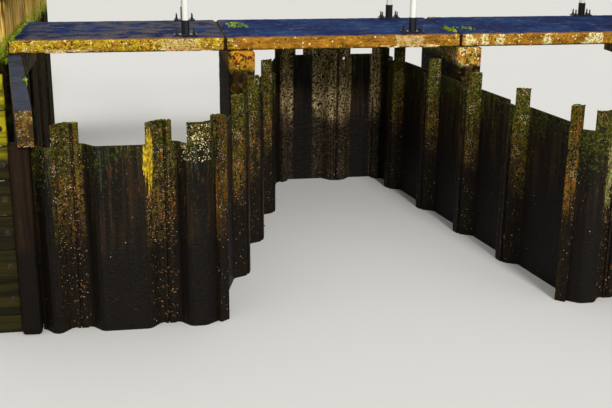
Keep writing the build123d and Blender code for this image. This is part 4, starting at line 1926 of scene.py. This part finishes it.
    def yellow_slime(self) -> None:
        """Hang bright slime down the left edge of the second land."""
        draw = np.random.default_rng(71)
        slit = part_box("left_wing_pile_1")[1].x - CLUTCH_REACH
        edge = slit + WING_LANDS[0]

        def keep(places: np.ndarray, normals: np.ndarray) -> np.ndarray:
            """Slime runs down the flange beside the land."""
            near = between(places[:, 0], edge - 0.015, edge + 0.035)
            return near & (normals[:, 1] < -FACING) & between(places[:, 2], self.slime_foot, WET_LINE)

        patch = Patch.of([NODES["left_wing_pile_1"]])
        SLIME_LOCKS.grow("yellow_slime", patch, draw, self.slime_count, keep)

    def pale_beds(self) -> None:
        """Crowd pale crumbs on the left corner panel and hang pale moss on the right wing's lands."""
        draw = np.random.default_rng(72)
        low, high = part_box("left_front_corner_post")
        foot = (low.x - 0.17, low.y - 0.2, 1.0)
        panel = Bed("panel", foot, (low.x, high.y, LAND_EDGE), self.crumb_count, PANEL_CRUMBS.largest)
        patch = Patch.of([NODES["left_wing_corner_pile"]])
        PANEL_CRUMBS.grow("panel_crumbs", patch, draw, panel.count, panel.keep)

        line = WallLine.along_x("right_wing_pile_1")

        def keep(places: np.ndarray, normals: np.ndarray) -> np.ndarray:
            """The moss keeps to the lands' channel side, clear of the wall's foot."""
            on_land = between(line.offsets(places), *WING_LANDS)
            return on_land & between(places[:, 2], self.pale_foot, WET_LINE) & (normals[:, 1] < -FACING)

        patch = Patch.of([NODES[f"right_wing_{pile}"] for pile in ("corner_pile", "pile_1", "end_pile")])
        PALE_LOCKS.grow("right_wing_hanging_moss", patch, draw, self.pale_count, keep)


@dataclass
class Banks:
    """Bank piles, posts, boards, cap beams and copings, with what is fixed to them."""

    plank_height: float = 0.2
    plank_gap: float = 0.004
    plank_round: float = 0.009
    plank_wear: float = 0.006
    plank_cuts: int = 6
    wear_width: float = 0.06
    bolt_radius: float = 0.012
    bolt_inset: float = 0.04
    bolt_sunk: float = 0.003
    washer_share: float = 1.5
    washer_height: float = 0.003

    def build(self) -> None:
        """Dress both banks and make their planks and moss."""
        steel = BankSteel().material()
        cap = CapConcrete().material()
        post_wood = WetTimber("post_timber", Tint.POST_WOOD, Tint.POST_WOOD_RED, grain_axis=2).material()
        # The boards' black below 1.06 m is partly painted shade
        boards = WetTimber("board_timber", Tint.BOARD_DARK, Tint.BOARD, grain_axis=0, wet_and_shaded_below=1.06)
        board_wood = boards.material()
        for node, solid in NODES.items():
            if "bank_pile" in node:
                dress(solid, steel)
            if node.endswith(("cap_beam", "bank_coping")):
                dress(solid, cap)
        for side in Side:
            node = f"{side.value}_end_post"
            block = WornBlock(node, grain=0.011, edge_round=0.01, pitting=0.003, chipping=0.01)
            post = block.build(f"worn_{node}")
            hand_over(post, post_wood, "wet_timber", node)
            self.planks(side, board_wood)
        self.moss()

    def planks(self, side: Side, wood: bpy.types.Material) -> None:
        """Stack planks with rounded edges in place of the boarded wall, bolted at both ends.

        Args:
            side: The bank.
            wood: The planks' material.
        """
        node = f"{side.value}_bank_boards"
        low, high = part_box(node)
        size = Vector((high.x - low.x, high.y - low.y, self.plank_height - self.plank_gap))
        fresh()
        top = Vector(((low.x + high.x) / 2, (low.y + high.y) / 2, high.z - self.plank_height / 2))
        bpy.ops.mesh.primitive_cube_add(size=1.0, location=top, scale=size)
        plank = newest("plank")
        whole()
        bpy.ops.mesh.bevel(offset=self.plank_round, segments=3, affect="EDGES")
        bpy.ops.mesh.select_all(action="SELECT")
        bpy.ops.mesh.subdivide(number_cuts=self.plank_cuts)
        done()
        roughen(plank, "weathering", self.wear_width, self.plank_wear)
        apply_all(plank)
        rows = math.ceil((high.z - low.z) / self.plank_height)
        steps = [Vector((0, 0, -self.plank_height * row)) for row in range(rows)]
        boards = repeated(f"{side.value}_bank_planks", plank, steps)
        whole()
        foot = (0, 0, low.z + 0.001)
        bpy.ops.mesh.bisect(plane_co=foot, plane_no=(0, 0, 1), clear_inner=True, use_fill=True)
        done()
        hand_over(boards, wood, "wet_timber", node)
        self.coach_bolts(side, low, high, rows)

    def coach_bolts(self, side: Side, low: Vector, high: Vector, rows: int) -> None:
        """Set a domed bolt on a washer at each end of each whole plank.

        Args:
            side: The bank.
            low: The boards' lower corner.
            high: Their upper corner.
            rows: How many planks there are.
        """
        fresh()
        spot = Vector((low.x + self.bolt_inset, low.y + self.bolt_sunk, high.z - self.plank_height / 2))
        radius = self.bolt_radius * self.washer_share
        washer = cylinder("washer", 16, radius, self.washer_height, spot, (math.pi / 2, 0, 0))
        radius = self.bolt_radius
        bpy.ops.mesh.primitive_uv_sphere_add(segments=14, ring_count=8, radius=radius, location=spot)
        head = newest("bolt_head")
        whole()
        bpy.ops.mesh.bisect(plane_co=spot, plane_no=(0, 1, 0), clear_outer=True, use_fill=True)
        bpy.ops.mesh.select_all(action="SELECT")
        bpy.ops.transform.resize(value=(1, 0.4, 1), center_override=spot)
        done()
        bolt = joined("coach_bolt", [washer, head])
        across = Vector((high.x - low.x - 2 * self.bolt_inset, 0, 0))
        drop = Vector((0, 0, -self.plank_height))
        steps = [across * end + drop * row for row in range(rows - 1) for end in (0, 1)]
        bolts = repeated(f"{side.value}_plank_bolts", bolt, steps)
        name = f"{side.value}_bolt_iron"
        iron = Growth(name, Tint.BLACK_WET, Tint.BROWN_WET, Tint.RUST, 200.0, 0.6, 0.0006)
        hand_over(bolts, iron.material(), "wet_timber")

    def moss(self) -> None:
        """Grow moss on the copings and at the edges of the cap beams."""
        names = [node for node in sorted(NODES) if node.endswith(("cap_beam", "bank_coping"))]
        grow_beds(
            BANK_BEDS,
            Patch.of([NODES[node] for node in names]),
            np.random.default_rng(81),
            "cap_concrete",
            0.25,
            lambda: [dome(0.2, 0.7, 2, seed) for seed in (34, 35)],
        )


@dataclass
class Handrails:
    """Stanchions, sockets and rails, with their studs and weld beads."""

    bolt_across: float = 0.063
    bolt_along: float = 0.03
    plate_thickness: float = 0.01
    nut_radius: float = 0.0115
    nut_height: float = 0.012
    nut_round: float = 0.0012
    washer_share: float = 1.25
    washer_height: float = 0.002
    stud_radius: float = 0.006
    stud_height: float = 0.038
    stud_point: float = 0.01
    rail_radius: float = 0.0169
    bead_radius: float = 0.003
    bead_waves: float = 0.0005
    tube_reach: float = 0.0242

    def build(self) -> None:
        """Dress the steelwork and make its fixings."""
        white = Paint("white_paint", Tint.WHITE_PAINT, Tint.CHALK, wear=-0.12, gloss=0.35).material()
        black = Paint("black_paint", Tint.BLACK_PAINT, Tint.GREY_SCUFF, wear=-0.02, gloss=0.28).material()
        for row in ("front", "rear"):
            for part in ("stanchions", "mid_rail", "top_rail"):
                dress(NODES[f"{row}_{part}"], white)
            dress(NODES[f"{row}_stanchion_sockets"], black)
            feet = self.feet(row)
            self.bolts(row, feet)
            self.beads(row, feet, white)

    @staticmethod
    def feet(row: str) -> list[Vector]:
        """Find where the base plates of a row stand, from the solids that stand apart along X.

        Args:
            row: The row's name.

        Returns:
            The middle of each base plate's underside.
        """
        points = np.array([v.co for v in NODES[f"{row}_stanchion_sockets"].data.vertices], float)
        points = points[np.argsort(points[:, 0])]
        apart = 0.1
        gaps = np.flatnonzero(np.diff(points[:, 0]) > apart) + 1
        groups = np.split(points, gaps)
        return [
            Vector(((g[0, 0] + g[-1, 0]) / 2, (g[:, 1].min() + g[:, 1].max()) / 2, g[:, 2].min()))
            for g in groups
        ]

    def bolts(self, row: str, feet: Sequence[Vector]) -> None:
        """Hold each base plate down with four studs, nuts and washers.

        Args:
            row: The row's name.
            feet: Where its base plates stand.
        """
        start = feet[0] + Vector((-self.bolt_across, -self.bolt_along, self.plate_thickness))
        fresh()
        radius = self.nut_radius * self.washer_share
        middle = start + Vector((0, 0, self.washer_height / 2))
        washer = cylinder("stud_washer", 18, radius, self.washer_height, middle)
        middle = start + Vector((0, 0, self.washer_height + self.nut_height / 2))
        nut = cylinder("stud_nut", 6, self.nut_radius, self.nut_height, middle)
        whole()
        bpy.ops.mesh.bevel(offset=self.nut_round, segments=1, affect="EDGES")
        done()
        middle = start + Vector((0, 0, self.stud_height / 2))
        stud = cylinder("stud", 12, self.stud_radius, self.stud_height, middle)
        tip = start.z + self.stud_height
        pick(stud, lambda centre, normal: centre.z > tip - 0.001)
        bpy.ops.mesh.extrude_region_move(TRANSFORM_OT_translate={"value": (0, 0, self.stud_point)})
        bpy.ops.transform.resize(value=(0.3, 0.3, 1.0))
        done()
        fixing = joined("fixing", [washer, nut, stud])
        corners = [(0, 0), (1, 0), (0, 1), (1, 1)]
        steps = [
            foot - feet[0] + Vector((2 * self.bolt_across * right, 2 * self.bolt_along * rear, 0))
            for foot in feet
            for right, rear in corners
        ]
        studs = repeated(f"{row}_anchor_studs", fixing, steps)
        name = f"{row}_stud_iron"
        iron = Growth(name, Tint.BLACK_PAINT, Tint.GREY_SCUFF, Tint.BLACK_WET, 220.0, 0.5, 0.0005)
        hand_over(studs, iron.material(), "black_paint")

    def beads(self, row: str, feet: Sequence[Vector], white: bpy.types.Material) -> None:
        """Run a weld bead round the mid rail on both sides of each stanchion.

        Args:
            row: The row's name.
            feet: Where its base plates stand.
            white: The rails' paint.
        """
        low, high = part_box(f"{row}_mid_rail")
        middle = (low + high) / 2
        fresh()
        bpy.ops.mesh.primitive_torus_add(
            location=(feet[0].x - self.tube_reach, middle.y, middle.z),
            rotation=(0, math.pi / 2, 0),
            major_radius=self.rail_radius,
            minor_radius=self.bead_radius,
            major_segments=20,
            minor_segments=6,
        )
        bead = newest("weld_bead")
        whole()
        bpy.ops.transform.vertex_random(offset=self.bead_waves, seed=5)
        done()
        across = 2 * self.tube_reach
        steps = [Vector((foot.x - feet[0].x + across * far, 0, 0)) for foot in feet for far in (0, 1)]
        hand_over(repeated(f"{row}_weld_beads", bead, steps), white, "white_paint")


def main() -> None:
    """Build the studio and every part of the weir."""
    logging.basicConfig(level=logging.INFO, format="%(name)s %(message)s")
    Studio().build()
    for part in (Footbridge(), CrestWall(), Banks(), Handrails()):
        part.build()
        log.info("%s finished", type(part).__name__)


if __name__ == "__main__":
    main()
